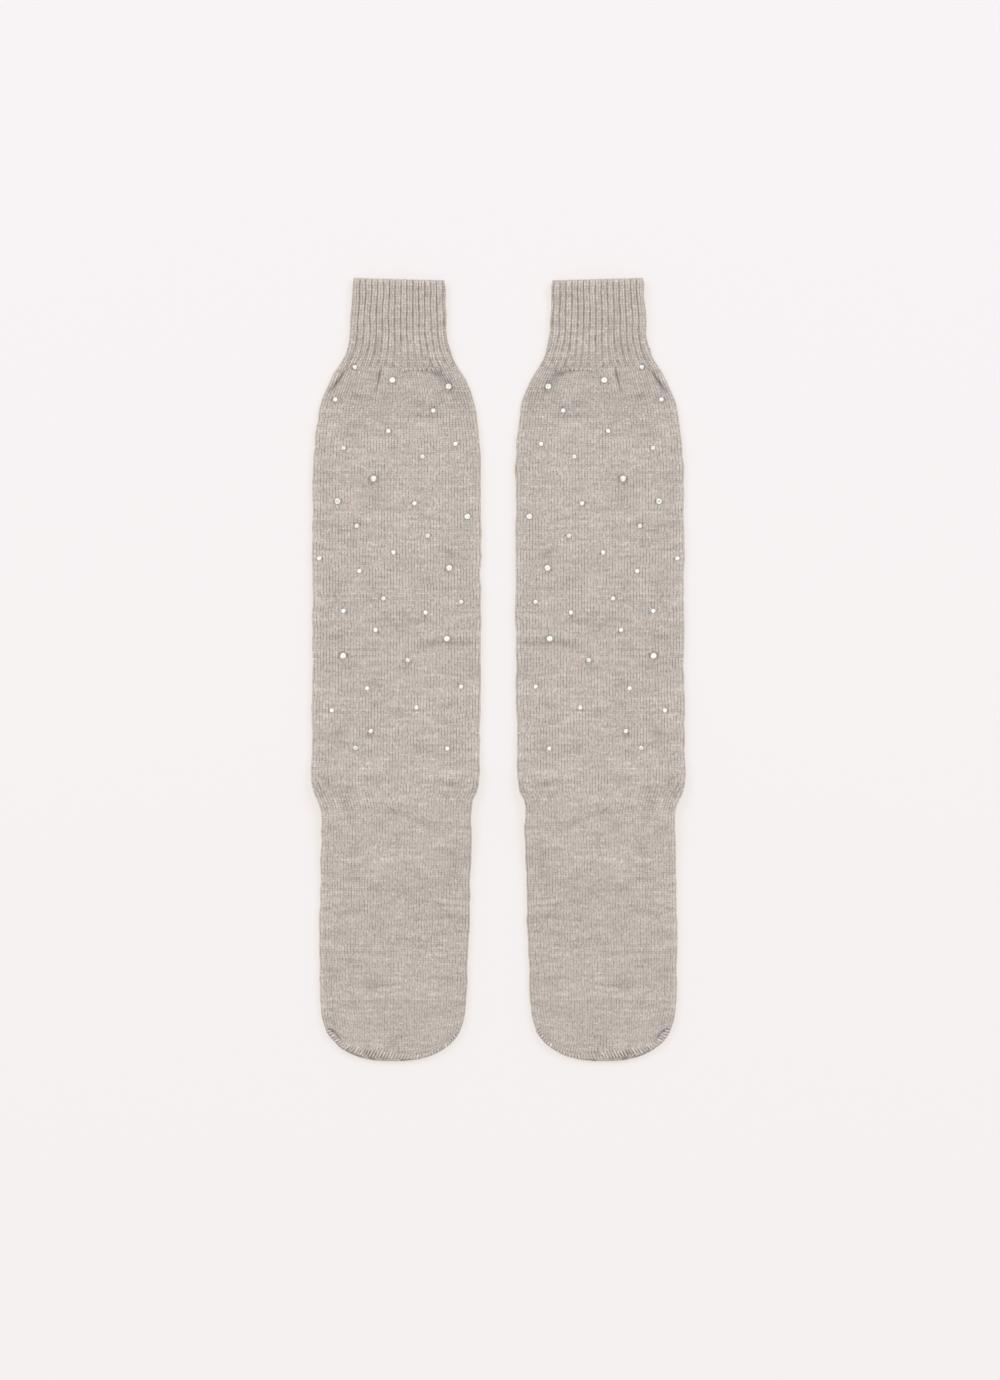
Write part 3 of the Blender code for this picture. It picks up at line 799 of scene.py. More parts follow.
def tube_wall(wale, rows, course, strength=1.0, rise=0.0, groove=0.0, purl=0.0, on_pouch=False, mouth=False):
    """A stretch of tube as one closed wall: front, resting side, inside and the two ends."""
    wall = Wall()
    front = lean_hem(front_of_tube(wale, rows, on_pouch))
    stone = nearest_stone(front[..., 0], rows)
    clear = np.clip((stone - STONE_FLAT) / STONE_EASE, 0.0, 1.0)
    # Painted shade: a faint ring round each crystal and a line along the cuff's seam, kept with the grooves'
    # own.
    ring = STONE_SHADE * np.exp(-(((stone - STONE_RING) / STONE_EASE) ** 2))
    seam = SEAM_SHADE * (1.0 - seam_fade(rows))
    groove = np.maximum.reduce([groove + 0.0 * stone, ring, seam + 0.0 * stone])
    strength = strength * fold_fade(wale) * clear * seam_fade(rows)
    rise = rise * fold_fade(wale)
    groove = groove * fold_fade(wale)
    # Painted shading: shade in the folds' troughs, light on their ridges and along the sock's edges.
    near = np.maximum(np.minimum(wale, WALES - wale), 0.0) * PLAIN_WALE
    shade = (hollow(front[..., 0], rows) - edge_light(front[..., 0], rows, near)) * fold_fade(wale)
    front_number = wall.add(front, wale, course, strength, rise, groove, purl, grid_normals(front), shade)
    wall.weave(front_number)

    share = np.linspace(0.0, 1.0, REST_STEPS + 1)[None, 1:-1]
    rest = lean_hem(rest_of_tube(share, between(rows, REST_ROWS), on_pouch))
    rest_wale = WALES + LOWER_WALES + share * (WALES - 2 * LOWER_WALES)
    rest_number = wall.add(rest, rest_wale, between(course, REST_ROWS))
    wall.weave(rest_number)
    down = (rows[:, 0] - rows[0, 0]) / (rows[-1, 0] - rows[0, 0])
    rest_down = np.linspace(0.0, 1.0, REST_ROWS + 1)
    wall.zip(front_number[:, -1], down, rest_number[:, 0], rest_down)
    wall.zip(front_number[:, 0], down, rest_number[:, -1], rest_down)

    ring = inside_ring()
    inside = lean_hem(inside_of_tube(ring[None, :], between(rows, INSIDE_ROWS), on_pouch))
    inside_number = wall.add(inside, wale_at(ring)[None, :], between(course, INSIDE_ROWS))
    wall.weave(np.concatenate([inside_number, inside_number[:, :1]], axis=1))

    for row, inward in ((0, -1.0), (-1, 1.0)):
        outer = np.concatenate([front_number[row], rest_number[row], front_number[row, :1]])
        outer_points = np.concatenate([front[row], rest[row], front[row, :1]])
        if mouth and row == 0:
            close_lip(wall, outer, outer_points, inside_number[row], inside[row], course[0, 0])
        else:
            close_end(wall, outer, outer_points, inside_number[row], inside[row], inward)
    return wall


def inside_ring():
    """Where the points of the inner face stand round it, as shares from the left fold."""
    return np.arange(2 * INSIDE_STEPS) / (2.0 * INSIDE_STEPS)


def close_lip(wall, outer, outer_points, inner, inner_points, course):
    """Closes a wall's end round an open mouth, with a lip that bulges out along the sock."""
    ring = inside_ring()
    outer_at = ring_places(outer_points)
    lip_at = outer_at[:-1:2]
    lip = 0.5 * (outer_points[:-1:2] + nearest_on(inner_points, ring, lip_at))
    lip[:, 1] += LIP_BULGE * WALL
    lip_line = ring_line(wall.add(lip, wale_at(lip_at), course))
    wall.zip(outer, outer_at, lip_line, np.append(lip_at, 1.0))
    wall.zip(ring_line(inner), np.append(ring, 1.0), lip_line, np.append(lip_at, 1.0))


def close_end(wall, outer, outer_points, inner, inner_points, inward):
    """Closes a wall's end where the next piece goes on. It slopes inward along the sock before it turns to
    the inside, so that it stays under the stitches of both pieces."""
    ring = inside_ring()
    outer_at = ring_places(outer_points)
    tuck = 0.5 * (outer_points[:-1] + nearest_on(inner_points, ring, outer_at[:-1]))
    tuck[:, 1] += inward * END_TUCK
    tuck_line = ring_line(wall.add(tuck, wale_at(outer_at[:-1]), 0.0))
    inner_line = ring_line(inner)
    wall.weave(np.stack([outer, tuck_line]))
    wall.zip(tuck_line, outer_at, inner_line, np.append(ring, 1.0))
    wall.rim(outer)
    wall.rim(inner_line)


def wale_at(share):
    """The wale at a share of the way round, from the left fold."""
    return 2.0 * WALES * share


def ring_places(points):
    """Where each point of a closed section stands round it: 0 at the left fold, 0.5 at the right one."""
    x = points[:, 0]
    low, high = x.min(), x.max()
    across = (x - low) / (high - low)
    turned = int(np.argmax(x))
    places = 0.5 * across
    places[turned:] = 1.0 - 0.5 * across[turned:]
    start = int(np.argmin(x[: turned + 1]))
    places[:start] = -0.5 * across[:start]
    places[-1] = 1.0 + places[0]
    return np.maximum.accumulate(places)


def nearest_on(points, at, wanted):
    """Points of a closed ring at the wanted places."""
    ring_at = np.append(at, 1.0)
    ring = np.concatenate([points, points[:1]])
    return np.stack([np.interp(wanted % 1.0, ring_at, ring[:, axis]) for axis in range(3)], axis=-1)


# --------------------------------------------------------------------------------------------------
# Nodes
# --------------------------------------------------------------------------------------------------


# Sockets that share their names with others in their node, by their numbers.
MIX_SHARE = 0
MIX_FIRST = 6
MIX_SECOND = 7
MIX_RESULT = 2
RANDOM_LOW = 2
RANDOM_HIGH = 3
RANDOM_VALUE = 1


class Signal:
    """A socket's value in an expression. Operators add Math nodes to its tree."""

    def __init__(self, nodes, socket):
        self.nodes = nodes
        self.socket = socket

    def __add__(self, other):
        return self.nodes.math("ADD", self, other)

    def __radd__(self, other):
        return self.nodes.math("ADD", other, self)

    def __sub__(self, other):
        return self.nodes.math("SUBTRACT", self, other)

    def __rsub__(self, other):
        return self.nodes.math("SUBTRACT", other, self)

    def __mul__(self, other):
        return self.nodes.math("MULTIPLY", self, other)

    def __rmul__(self, other):
        return self.nodes.math("MULTIPLY", other, self)

    def __truediv__(self, other):
        return self.nodes.math("DIVIDE", self, other)


class Nodes:
    """Adds nodes to one tree."""

    def __init__(self, tree):
        self.tree = tree

    def node(self, kind, settings=None, sockets=None):
        """A node of that type, with its settings set first and then the values or links of its sockets."""
        made = self.tree.nodes.new(kind)
        for name, value in (settings or {}).items():
            setattr(made, name, value)
        for name, value in (sockets or {}).items():
            self.feed(made.inputs[name], value)
        return made

    def feed(self, socket, value):
        if isinstance(value, Signal):
            value = value.socket
        if isinstance(value, bpy.types.NodeSocket):
            self.tree.links.new(value, socket)
        else:
            socket.default_value = value

    def signal(self, kind, settings=None, sockets=None, output=0):
        return Signal(self, self.node(kind, settings, sockets).outputs[output])

    def math(self, operation, *values):
        return self.signal("ShaderNodeMath", {"operation": operation}, dict(enumerate(values)))

    def vector(self, operation, *values):
        return self.signal("ShaderNodeVectorMath", {"operation": operation}, dict(enumerate(values)))

    def place(self, x, y, z):
        return self.signal("ShaderNodeCombineXYZ", None, {"X": x, "Y": y, "Z": z})

    def noise(self, place, detail, scale=1.0):
        """Soft noise, from 0 to 1, at a place."""
        return self.signal("ShaderNodeTexNoise", None, {"Vector": place, "Scale": scale, "Detail": detail})

    def pattern(self, pattern, wale, course):
        """One of the soft patterns over the knit."""
        place = self.place(wale * pattern.wale, course * pattern.course, pattern.layer)
        return self.noise(place, pattern.detail, pattern.scale)

    def own_value(self, x, y, z):
        """A value from 0 to 1 that differs from one whole number to the next."""
        return self.signal("ShaderNodeTexWhiteNoise", None, {"Vector": self.place(x, y, z)})

    def attribute(self, title):
        """An attribute of the mesh, in a material."""
        return self.signal("ShaderNodeAttribute", {"attribute_name": title}, output="Fac")

    def named(self, name, kind="FLOAT"):
        """An attribute of the mesh, in a geometry tree."""
        return self.signal("GeometryNodeInputNamedAttribute", {"data_type": kind}, {"Name": name})

    def store(self, geometry, name, value):
        """Keeps a value for each point under a name."""
        settings = {"data_type": "FLOAT", "domain": "POINT"}
        sockets = {"Geometry": geometry, "Name": name, "Value": value}
        return self.signal("GeometryNodeStoreNamedAttribute", settings, sockets)

    def chance(self, low, high, seed):
        """A random value for each point."""
        sockets = {RANDOM_LOW: low, RANDOM_HIGH: high, "Seed": seed}
        return self.signal("FunctionNodeRandomValue", {"data_type": "FLOAT"}, sockets, output=RANDOM_VALUE)

    def standing(self):
        """The turn that stands a copy along each point's way up."""
        sockets = {"Vector": self.named("up", "FLOAT_VECTOR")}
        return self.signal("FunctionNodeAlignRotationToVector", {"axis": "Z"}, sockets)

    def spun(self, turn, angle):
        """A turn with a spin about its own upright axis added."""
        sockets = {"Axis": (0.0, 0.0, 1.0), "Angle": angle}
        about = self.signal("FunctionNodeAxisAngleToRotation", None, sockets)
        sockets = {"Rotation": turn, "Rotate By": about}
        return self.signal("FunctionNodeRotateRotation", {"rotation_space": "LOCAL"}, sockets)

    def copies(self, points, item, turn, scale):
        """A copy of an object on each point."""
        shape = self.signal("GeometryNodeObjectInfo", None, {"Object": item}, output="Geometry")
        sockets = {"Points": points, "Instance": shape, "Rotation": turn, "Scale": scale}
        return self.signal("GeometryNodeInstanceOnPoints", None, sockets)

    def mix_colour(self, share, first, second, blend="MIX"):
        """Mixes two colours: the first at a share of 0 and the second at 1."""
        settings = {"data_type": "RGBA", "blend_type": blend, "clamp_factor": True}
        sockets = {MIX_SHARE: share, MIX_FIRST: first, MIX_SECOND: second}
        return self.signal("ShaderNodeMix", settings, sockets, output=MIX_RESULT)


def new_tree(name, inputs):
    """A geometry tree with a geometry in and out, and the named inputs (name, socket type, default)."""
    tree = bpy.data.node_groups.new(name, "GeometryNodeTree")
    tree.interface.new_socket("Geometry", in_out="INPUT", socket_type="NodeSocketGeometry")
    for title, kind, default in inputs:
        socket = tree.interface.new_socket(title, in_out="INPUT", socket_type=kind)
        if default is not None:
            socket.default_value = default
    tree.interface.new_socket("Geometry", in_out="OUTPUT", socket_type="NodeSocketGeometry")
    nodes = Nodes(tree)
    entry = nodes.node("NodeGroupInput")
    given = {socket.name: Signal(nodes, socket) for socket in entry.outputs if socket.name}
    return tree, nodes, given


def close_tree(nodes, geometry, material):
    """Ends a geometry tree: its instances made real and its material set."""
    real = nodes.signal("GeometryNodeRealizeInstances", None, {"Geometry": geometry})
    finished = nodes.signal("GeometryNodeSetMaterial", None, {"Geometry": real, "Material": material})
    leave = nodes.node("NodeGroupOutput")
    nodes.feed(leave.inputs[0], finished)


def run_tree(item, tree, values):
    """Runs a geometry tree on an object and keeps the result as its plain mesh."""
    modifier = item.modifiers.new(tree.name, "NODES")
    modifier.node_group = tree
    for socket in tree.interface.items_tree:
        if socket.in_out == "INPUT" and socket.name in values:
            modifier[socket.identifier] = values[socket.name]
    item.update_tag()
    bpy.context.view_layer.update()
    graph = bpy.context.evaluated_depsgraph_get()
    evaluated = item.evaluated_get(graph)
    plain = bpy.data.meshes.new_from_object(evaluated, preserve_all_data_layers=True, depsgraph=graph)
    plain.name = item.data.name
    item.modifiers.remove(modifier)
    item.data = plain
    return item


def stitch_tree():
    """Raises knit stitches on a wall: each is two slanted limbs of yarn that meet in a V."""
    sizes = ("Stitch height", "Stitch slant", "Course height", "Rib height")
    sizes += ("Yarn wander", "Wale sway", "Cloth waves", "Flat furrow")
    tree, nodes, given = new_tree(
        "knit stitches",
        (
            *((size, "NodeSocketFloat", 0.0) for size in sizes),
            ("Material", "NodeSocketMaterial", None),
        ),
    )
    wale = nodes.named("wale")
    course = nodes.named("course")
    strength = nodes.named("strength")
    purl = nodes.named("purl")
    across = nodes.math("FRACT", wale)
    down = nodes.math("FRACT", course)

    # The relief of one stitch, knit or purl, from 0 to about 1.
    limb = 1.0 - nodes.math("ABSOLUTE", nodes.math("COSINE", across * math.tau))
    centre = 0.5 - 0.5 * nodes.math("COSINE", across * math.tau)
    crest = 0.5 - 0.5 * nodes.math("COSINE", down * math.tau)
    column = limb + (1.0 - limb) * centre * YARN_MIDDLE
    knit_relief = column * (0.5 + 0.5 * crest)
    purl_relief = crest * (PURL_SIDES + PURL_TOP * centre)
    even = knit_relief + (purl_relief - knit_relief) * purl
    uneven = nodes.pattern(UNEVEN_STITCHES, wale, course)
    relief = even * (1.0 + (uneven - 0.5) * given["Yarn wander"])

    # The stitches, the ribs and the cloth's soft waves lift the wall along its own way up.
    position = nodes.signal("GeometryNodeInputPosition")
    soft = nodes.noise(position, CLOTH_WAVE_DETAIL, CLOTH_WAVE_SCALE)
    waves = (soft - 0.5) * given["Cloth waves"] * strength
    height = relief * strength * given["Stitch height"] + nodes.named("rise") * given["Rib height"] + waves
    up = nodes.named("up", "FLOAT_VECTOR")
    lift = nodes.signal("ShaderNodeVectorMath", {"operation": "SCALE"}, {"Vector": up, "Scale": height})

    # Their slant and the yarn's wander shift them along the sock, and the wales sway across it.
    lean = 1.0 - nodes.math("ABSOLUTE", across * 2.0 - 1.0)
    slant = lean * given["Stitch slant"] * (1.0 - purl)
    sway = nodes.pattern(SWAYING_YARN, wale, course)
    shift = (slant + (sway - 0.5) * given["Yarn wander"]) * given["Course height"] * strength
    drift = nodes.pattern(DRIFTING_WALES, wale, course)
    sideways = (drift - 0.5) * given["Wale sway"] * strength
    offset = nodes.vector("ADD", lift, nodes.place(sideways, 0.0 - shift, 0.0))
    sockets = {"Geometry": given["Geometry"], "Offset": offset}
    moved = nodes.signal("GeometryNodeSetPosition", None, sockets)

    # How deep a point lies between the stitches or the ribs, which the material paints as shade.
    rib = nodes.math("ROUND", wale / float(WALES_PER_RIB))
    broken = BROKEN_LEAST + BROKEN_RANGE * nodes.own_value(rib, nodes.math("FLOOR", course), 0.0)
    flat = (1.0 - strength) * given["Flat furrow"]
    furrow = nodes.math("MAXIMUM", strength * (1.0 - relief) + flat, nodes.named("groove") * broken)
    close_tree(nodes, nodes.store(moved, "furrow", furrow), given["Material"])
    return tree


def scatter_tree():
    """Stands a copy of one shape on each point, turned to the point's up and scaled to its size."""
    tree, nodes, given = new_tree(
        "set stones",
        (
            ("Shape", "NodeSocketObject", None),
            ("Seed", "NodeSocketInt", 0),
            ("Material", "NodeSocketMaterial", None),
        ),
    )
    seed = given["Seed"]
    turn = nodes.spun(nodes.standing(), nodes.chance(0.0, math.tau, seed))
    # A value for each stone that moves its facets' painted flashes.
    glint = nodes.chance(0.0, 1.0, seed + GLINT_SEED_STEP)
    marked = nodes.store(given["Geometry"], "glint", glint)
    copies = nodes.copies(marked, given["Shape"], turn, nodes.named("size"))
    close_tree(nodes, copies, given["Material"])
    return tree


def sewn_tree():
    """Lays a copy of one stitch at even steps along a line of edges, each across it but for its lean."""
    tree, nodes, given = new_tree(
        "sewn stitches",
        (
            ("Shape", "NodeSocketObject", None),
            ("Pitch", "NodeSocketFloat", MM),
            ("Lean", "NodeSocketFloat", 0.0),
            ("Unevenness", "NodeSocketFloat", 0.0),
            ("Seed", "NodeSocketInt", 0),
            ("Material", "NodeSocketMaterial", None),
        ),
    )
    line = nodes.signal("GeometryNodeMeshToCurve", None, {"Mesh": given["Geometry"]})
    sockets = {"Curve": line, "Length": given["Pitch"]}
    even = nodes.signal("GeometryNodeResampleCurve", {"mode": "LENGTH"}, sockets)
    points = nodes.node("GeometryNodeCurveToPoints", {"mode": "EVALUATED"}, {"Curve": even})
    sockets = {"Rotation": nodes.standing(), "Vector": points.outputs["Tangent"]}
    along = nodes.signal("FunctionNodeAlignRotationToVector", {"axis": "X", "pivot_axis": "Z"}, sockets)
    turn = nodes.spun(along, given["Lean"])
    seed = given["Seed"]
    thick = nodes.chance(1.0 - given["Unevenness"], 1.0 + given["Unevenness"], seed)
    scale = nodes.place(thick, nodes.named("size") * thick, thick)
    course = nodes.chance(0.0, LOOP_COURSES, seed + COURSE_SEED_STEP)
    # Painted shade for each loop, drawn at random.
    furrow = nodes.chance(*LOOP_FURROW, seed + FURROW_SEED_STEP)
    marked = nodes.store(nodes.store(points.outputs["Points"], "course", course), "furrow", furrow)
    copies = nodes.copies(marked, given["Shape"], turn, scale)
    close_tree(nodes, copies, given["Material"])
    return tree


# --------------------------------------------------------------------------------------------------
# Materials
# --------------------------------------------------------------------------------------------------


def new_material(name, surface):
    """A material with its plain values set: its nodes and its shader's sockets."""
    material = bpy.data.materials.new(name)
    material.use_nodes = True
    shader = material.node_tree.nodes["Principled BSDF"]
    for socket, value in surface.items():
        shader.inputs[socket].default_value = value
    return material, Nodes(material.node_tree), shader.inputs


def opaque(colour):
    """A colour with its alpha, for a shader's socket."""
    return (*colour, 1.0)


def knit_material(name, tone):
    """Heathered wool-blend yarn. tone lightens or darkens one piece against the rest."""
    yarn = bpy.context.scene.sock_yarn
    material, nodes, inputs = new_material(name, {**YARN_SURFACE, "Sheen Weight": yarn.sheen})
    wale = nodes.attribute("wale")
    course = nodes.attribute("course")
    thread = nodes.math("FLOOR", course)

    # Light and dark fibres run along the yarn, so a streak is several stitches long and a course or two high.
    own = nodes.own_value(nodes.math("FLOOR", wale * 2.0), thread, 0.0)
    stitch = nodes.own_value(nodes.math("FLOOR", wale), thread, WHOLE_STITCH_LAYER)
    fibre = nodes.pattern(FIBRES, wale, course)
    heather = (
        0.5
        + (nodes.pattern(STREAKS, wale, thread) - 0.5) * yarn.streaks
        + (nodes.pattern(CLOUDS, wale, course) - 0.5) * yarn.clouds
        + (own - 0.5) * yarn.single_stitches
        + (stitch - 0.5) * yarn.whole_stitches
        + (nodes.pattern(GRAIN, wale, course) - 0.5) * yarn.grain
        + (fibre - 0.5) * yarn.fibres
    )
    colour = nodes.mix_colour(heather, opaque(yarn.dark_fibre), opaque(yarn.light_fibre))
    warmth = nodes.pattern(WARM_PATCHES, wale, course)
    hue = nodes.pattern(WARM_GRAIN, wale, course)
    warm = 0.5 + (warmth - 0.5) * WARM_PATCH_SHARE + (hue - 0.5) * WARM_GRAIN_SHARE
    colour = nodes.mix_colour(warm, colour, opaque(yarn.warm_tint), "MULTIPLY")

    # Painted shade: the furrows between stitches are darkened in the colour, as they hold less light than
    # their flat shading shows, each by its own depth.
    furrow = nodes.math("MINIMUM", nodes.attribute("furrow"), FURROW_MOST)
    depth = nodes.math("POWER", furrow, FURROW_POWER) * (OWN_LEAST + OWN_RANGE * own)
    full = (tone, tone, tone, 1.0)
    deep = opaque(tone * (1.0 - yarn.furrow_shade_share) * part for part in yarn.furrow_tint)
    colour = nodes.mix_colour(1.0, colour, nodes.mix_colour(depth, full, deep), "MULTIPLY")
    # Painted shade in the folds' troughs, and painted light on their ridges and along the sock's edges.
    light = 1.0 - nodes.attribute("hollow") * yarn.painted_shading_share
    colour = nodes.mix_colour(1.0, colour, nodes.place(light, light, light), "MULTIPLY")
    nodes.feed(inputs["Base Color"], colour)

    # Stitches in the resting side's surface, and loose fibres everywhere.
    across = nodes.math("FRACT", wale)
    lean = 1.0 - nodes.math("ABSOLUTE", across * 2.0 - 1.0)
    down = nodes.math("FRACT", course + lean * FLAT_SLANT)
    limb = nodes.math("ABSOLUTE", nodes.math("SINE", across * math.tau))
    crest = nodes.math("SINE", down * math.pi)
    shown = 1.0 - nodes.attribute("strength")
    flat_stitch = limb * (FLAT_STITCH_BASE + (1.0 - FLAT_STITCH_BASE) * crest) * shown
    sockets = {
        "Height": flat_stitch * FLAT_STITCH + fibre * FIBRE_RELIEF,
        "Strength": RELIEF_STRENGTH,
        "Distance": 1.0,
    }
    nodes.feed(inputs["Normal"], nodes.signal("ShaderNodeBump", None, sockets))
    return material


def crystal_material():
    """Clear cut glass over a bright foil, with its flashes painted: white facets with a painted glow and grey
    ones of painted shade, by a value for each facet and one for each stone in place of the way each is
    turned.
    """
    sizes = bpy.context.scene.sock_crystals
    material, nodes, inputs = new_material("cut_glass", GLASS_SURFACE)
    # Painted flash: each facet is white and glows, or grey, by its value and its stone's; the edge and the
    # glue are dark.
    turned = nodes.attribute("facet") * FLASH_BY_FACET + nodes.attribute("glint") * FLASH_BY_STONE
    rim = nodes.attribute("girdle")
    bright = nodes.math("POWER", nodes.math("FRACT", turned), FLASH_POWER)
    facet = nodes.mix_colour(bright, opaque(sizes.painted_facet_shade), opaque(sizes.painted_flash))
    nodes.feed(inputs["Base Color"], nodes.mix_colour(rim, facet, opaque(sizes.rim)))
    glow = nodes.mix_colour(bright * (1.0 - rim), (0.0, 0.0, 0.0, 1.0), opaque(sizes.glow))
    nodes.feed(inputs["Emission Color"], glow)
    return material


# --------------------------------------------------------------------------------------------------
# Pieces
# --------------------------------------------------------------------------------------------------


def linked(name, data):
    """A new object of some data, in the scene."""
    item = bpy.data.objects.new(name, data)
    bpy.context.scene.collection.objects.link(item)
    return item


def material_for(part):
    """The yarn of one part, made once for both socks."""
    name = f"{part}_yarn"
    return bpy.data.materials.get(name) or knit_material(name, CLOTHS[part].tone)


def tree_for(name, builder):
    """A geometry tree, built once for all pieces."""
    return bpy.data.node_groups.get(name) or builder()


def knitted(prefix, part, side, wall):
    """One part of a sock from its wall, with its stitches raised, in the place of the frame's own."""
    knit = bpy.context.scene.sock_knit
    item = linked(f"{prefix}_{part}_knit", wall.mesh(f"{prefix}_{part}_knit", side))
    run_tree(
        item,
        tree_for("knit stitches", stitch_tree),
        {
            "Stitch height": knit.stitch_height,
            "Stitch slant": knit.stitch_slant,
            "Course height": knit.course_height,
            "Rib height": knit.rib_height,
            "Yarn wander": knit.yarn_wander,
            "Wale sway": knit.wale_sway,
            "Cloth waves": knit.cloth_waves,
            "Flat furrow": knit.flat_furrow,
            "Material": material_for(part),
        },
    )
    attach(item, "root")
    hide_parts(f"{prefix}_{part}")
    return item


def plain_wales():
    """The wales of plain knit, from under the left fold to under the right one."""
    count = (WALES + 2 * LOWER_WALES) * STEPS_PER_WALE
    return np.linspace(-LOWER_WALES, WALES + LOWER_WALES, count + 1)[None, :]


def size_setting(title, meaning, millimetres):
    return FloatProperty(name=title, description=meaning, default=millimetres * MM, unit="LENGTH")


def share_setting(title, meaning, share):
    return FloatProperty(name=title, description=meaning, default=share, subtype="FACTOR")


def colour_setting(title, meaning, colour):
    return FloatVectorProperty(name=title, description=meaning, default=colour, subtype="COLOR")


def power_setting(title, meaning, watts):
    return FloatProperty(name=title, description=meaning, default=watts, unit="POWER")


class SockKnitSettings(bpy.types.PropertyGroup):
    """The sizes of the stitches"""

    course_height: size_setting("Course height", "Height of one row of stitches", 1.4)
    stitch_height: size_setting("Stitch height", "How far a stitch stands proud", 0.55)
    stitch_slant: share_setting("Stitch slant", "Drop from a stitch's ends to its point, in courses", 0.6)
    rib_height: size_setting("Rib height", "How far a rib stands over the groove", 0.75)
    yarn_wander: share_setting("Yarn wander", "Unevenness of the stitches, as a share", 0.5)
    wale_sway: size_setting("Wale sway", "How far the wales sway from straight", 1.6)
    cloth_waves: size_setting("Cloth waves", "Depth of the cloth's soft waves", 0.35)
    flat_furrow: share_setting("Flat furrow", "Shade where the stitches fade, as a furrow's share", 0.4)


class SockYarnSettings(bpy.types.PropertyGroup):
    """The colours of the yarn"""

    light_fibre: colour_setting("Light fibre", "Lightest fibre of the yarn", (0.87, 0.799, 0.757))
    dark_fibre: colour_setting("Dark fibre", "Darkest fibre of the yarn", (0.48, 0.434, 0.405))
    warm_tint: colour_setting("Warm tint", "Tint of the warmer patches", (1.0, 0.972, 0.92))
    streaks: share_setting("Streaks", "Contrast along the yarn", 1.12)
    clouds: share_setting("Clouds", "Contrast of large patches", 0.5)
    single_stitches: share_setting("Single stitches", "Contrast between a stitch's halves", 0.4)
    whole_stitches: share_setting("Whole stitches", "Contrast between stitches", 0.15)
    grain: share_setting("Grain", "Contrast of small patches", 1.7)
    fibres: share_setting("Fibres", "Contrast between fibres", 0.5)
    # Painted shade between the stitches.
    furrow_shade_share: share_setting("Furrows", "Darkening between the stitches", 0.62)
    # Painted shade in the creases' troughs, and painted light on ridges and edges.
    painted_shading_share: share_setting("Hollows", "Darkening in the creases' troughs", 0.6)
    furrow_tint: colour_setting("Furrow tint", "Tint of the light between the stitches", (1.0, 0.96, 0.93))
    sheen: share_setting("Sheen", "Soft light caught by the nap", 0.5)


class SockCrystalSettings(bpy.types.PropertyGroup):
    """The sizes and looks of the crystals"""

    large_radius: size_setting("Large radius", "Radius of a large crystal", 2.15)
    small_radius: size_setting("Small radius", "Radius of a small crystal", 1.62)
    height_share: share_setting("Height", "Height as a share of the radius", 0.75)
    seed: IntProperty(name="Seed", description="Turns of the crystals", default=4)
    # The painted flash and painted shade of the facets, and the painted glow where they flash.
    painted_flash: colour_setting("Bright facet", "Colour of the facets that flash", (0.95, 0.95, 0.94))
    painted_facet_shade: colour_setting("Shaded facet", "Colour of the facets that don't", (0.50, 0.48, 0.42))
    glow: colour_setting("Glow", "Light that the foil throws back", (0.22, 0.22, 0.21))
    rim: colour_setting("Rim", "Colour of the edge and the glue", (0.22, 0.2, 0.17))


class SockStageSettings(bpy.types.PropertyGroup):
    """The surface, the lights and the camera"""

    floor_colour: colour_setting("Floor", "Colour of the surface", (0.22, 0.24, 0.34))
    floor_glow: colour_setting("Floor glow", "Light that shines through the surface", (0.66, 0.60, 0.486))
    world_light: FloatProperty(name="Room light", description="Light from all round", default=0.78)
    key_power: power_setting("Key light", "Power of the soft light on the left", 40.0)
    fill_power: power_setting("Fill light", "Power of the soft light on the right", 40.0)
    frame_height: size_setting("Frame height", "What the picture's height covers", 828.5)
    lens: FloatProperty(name="Lens", description="Focal length in millimetres", default=85.0)


class KnitPiece:
    """What the operators of the socks' pieces share: each makes its piece for both socks."""

    bl_options = {"REGISTER", "UNDO"}

    def execute(self, context):
        for prefix, side in SIDES.items():
            self.make(prefix, side)
        return {"FINISHED"}


class SOCKS_OT_cuffs(KnitPiece, bpy.types.Operator):
    """Knit the ribbed cuffs"""

    bl_idname = "socks.cuffs"
    bl_label = "Cuffs"

    def make(self, prefix, side):
        rows, course = course_rows(CUFF_SEAM, SOCK_LENGTH, CUFF_STRETCH)
        number = rib_columns()
        run = rib_places(number, rows)
        under = np.arange(1, LOWER_WALES * STEPS_PER_WALE + 1) / STEPS_PER_WALE
        left_under = np.broadcast_to(-under[::-1], (len(rows), len(under)))
        right_under = np.broadcast_to(WALES + under, (len(rows), len(under)))
        run = np.concatenate([left_under, run, right_under], axis=1)
        number = np.concatenate([number[0] - under[::-1], number, number[-1] + under])[None, :]
        in_rib = number % WALES_PER_RIB
        plateau = ease(1.0 - np.minimum(in_rib, WALES_PER_RIB - in_rib))
        ribbed = 1.0 - ease((rows - CUFF_SEAM - RIB_END) / RIB_FADE)
        near_hem = ease((SOCK_LENGTH - rows) / HEM_HEIGHT)
        strength = (plateau + (1.0 - plateau) * (1.0 - GROOVE_CALM * ribbed)) * (1.0 - HEM_CALM * near_hem)
        rise = plateau * ribbed * (1.0 - HEM_RIB_CALM * near_hem)
        # Painted shade in the grooves between the ribs.
        groove = GROOVE_SHADE * (1.0 - plateau) * ribbed * (1.0 - HEM_GROOVE_CALM * near_hem)
        wall = tube_wall(run, rows, course, strength, rise, groove, purl=1.0 - plateau, mouth=True)
        wall.knit["wale"][0] = np.broadcast_to(number, run.shape).reshape(-1)
        knitted(prefix, "cuff", side, wall)


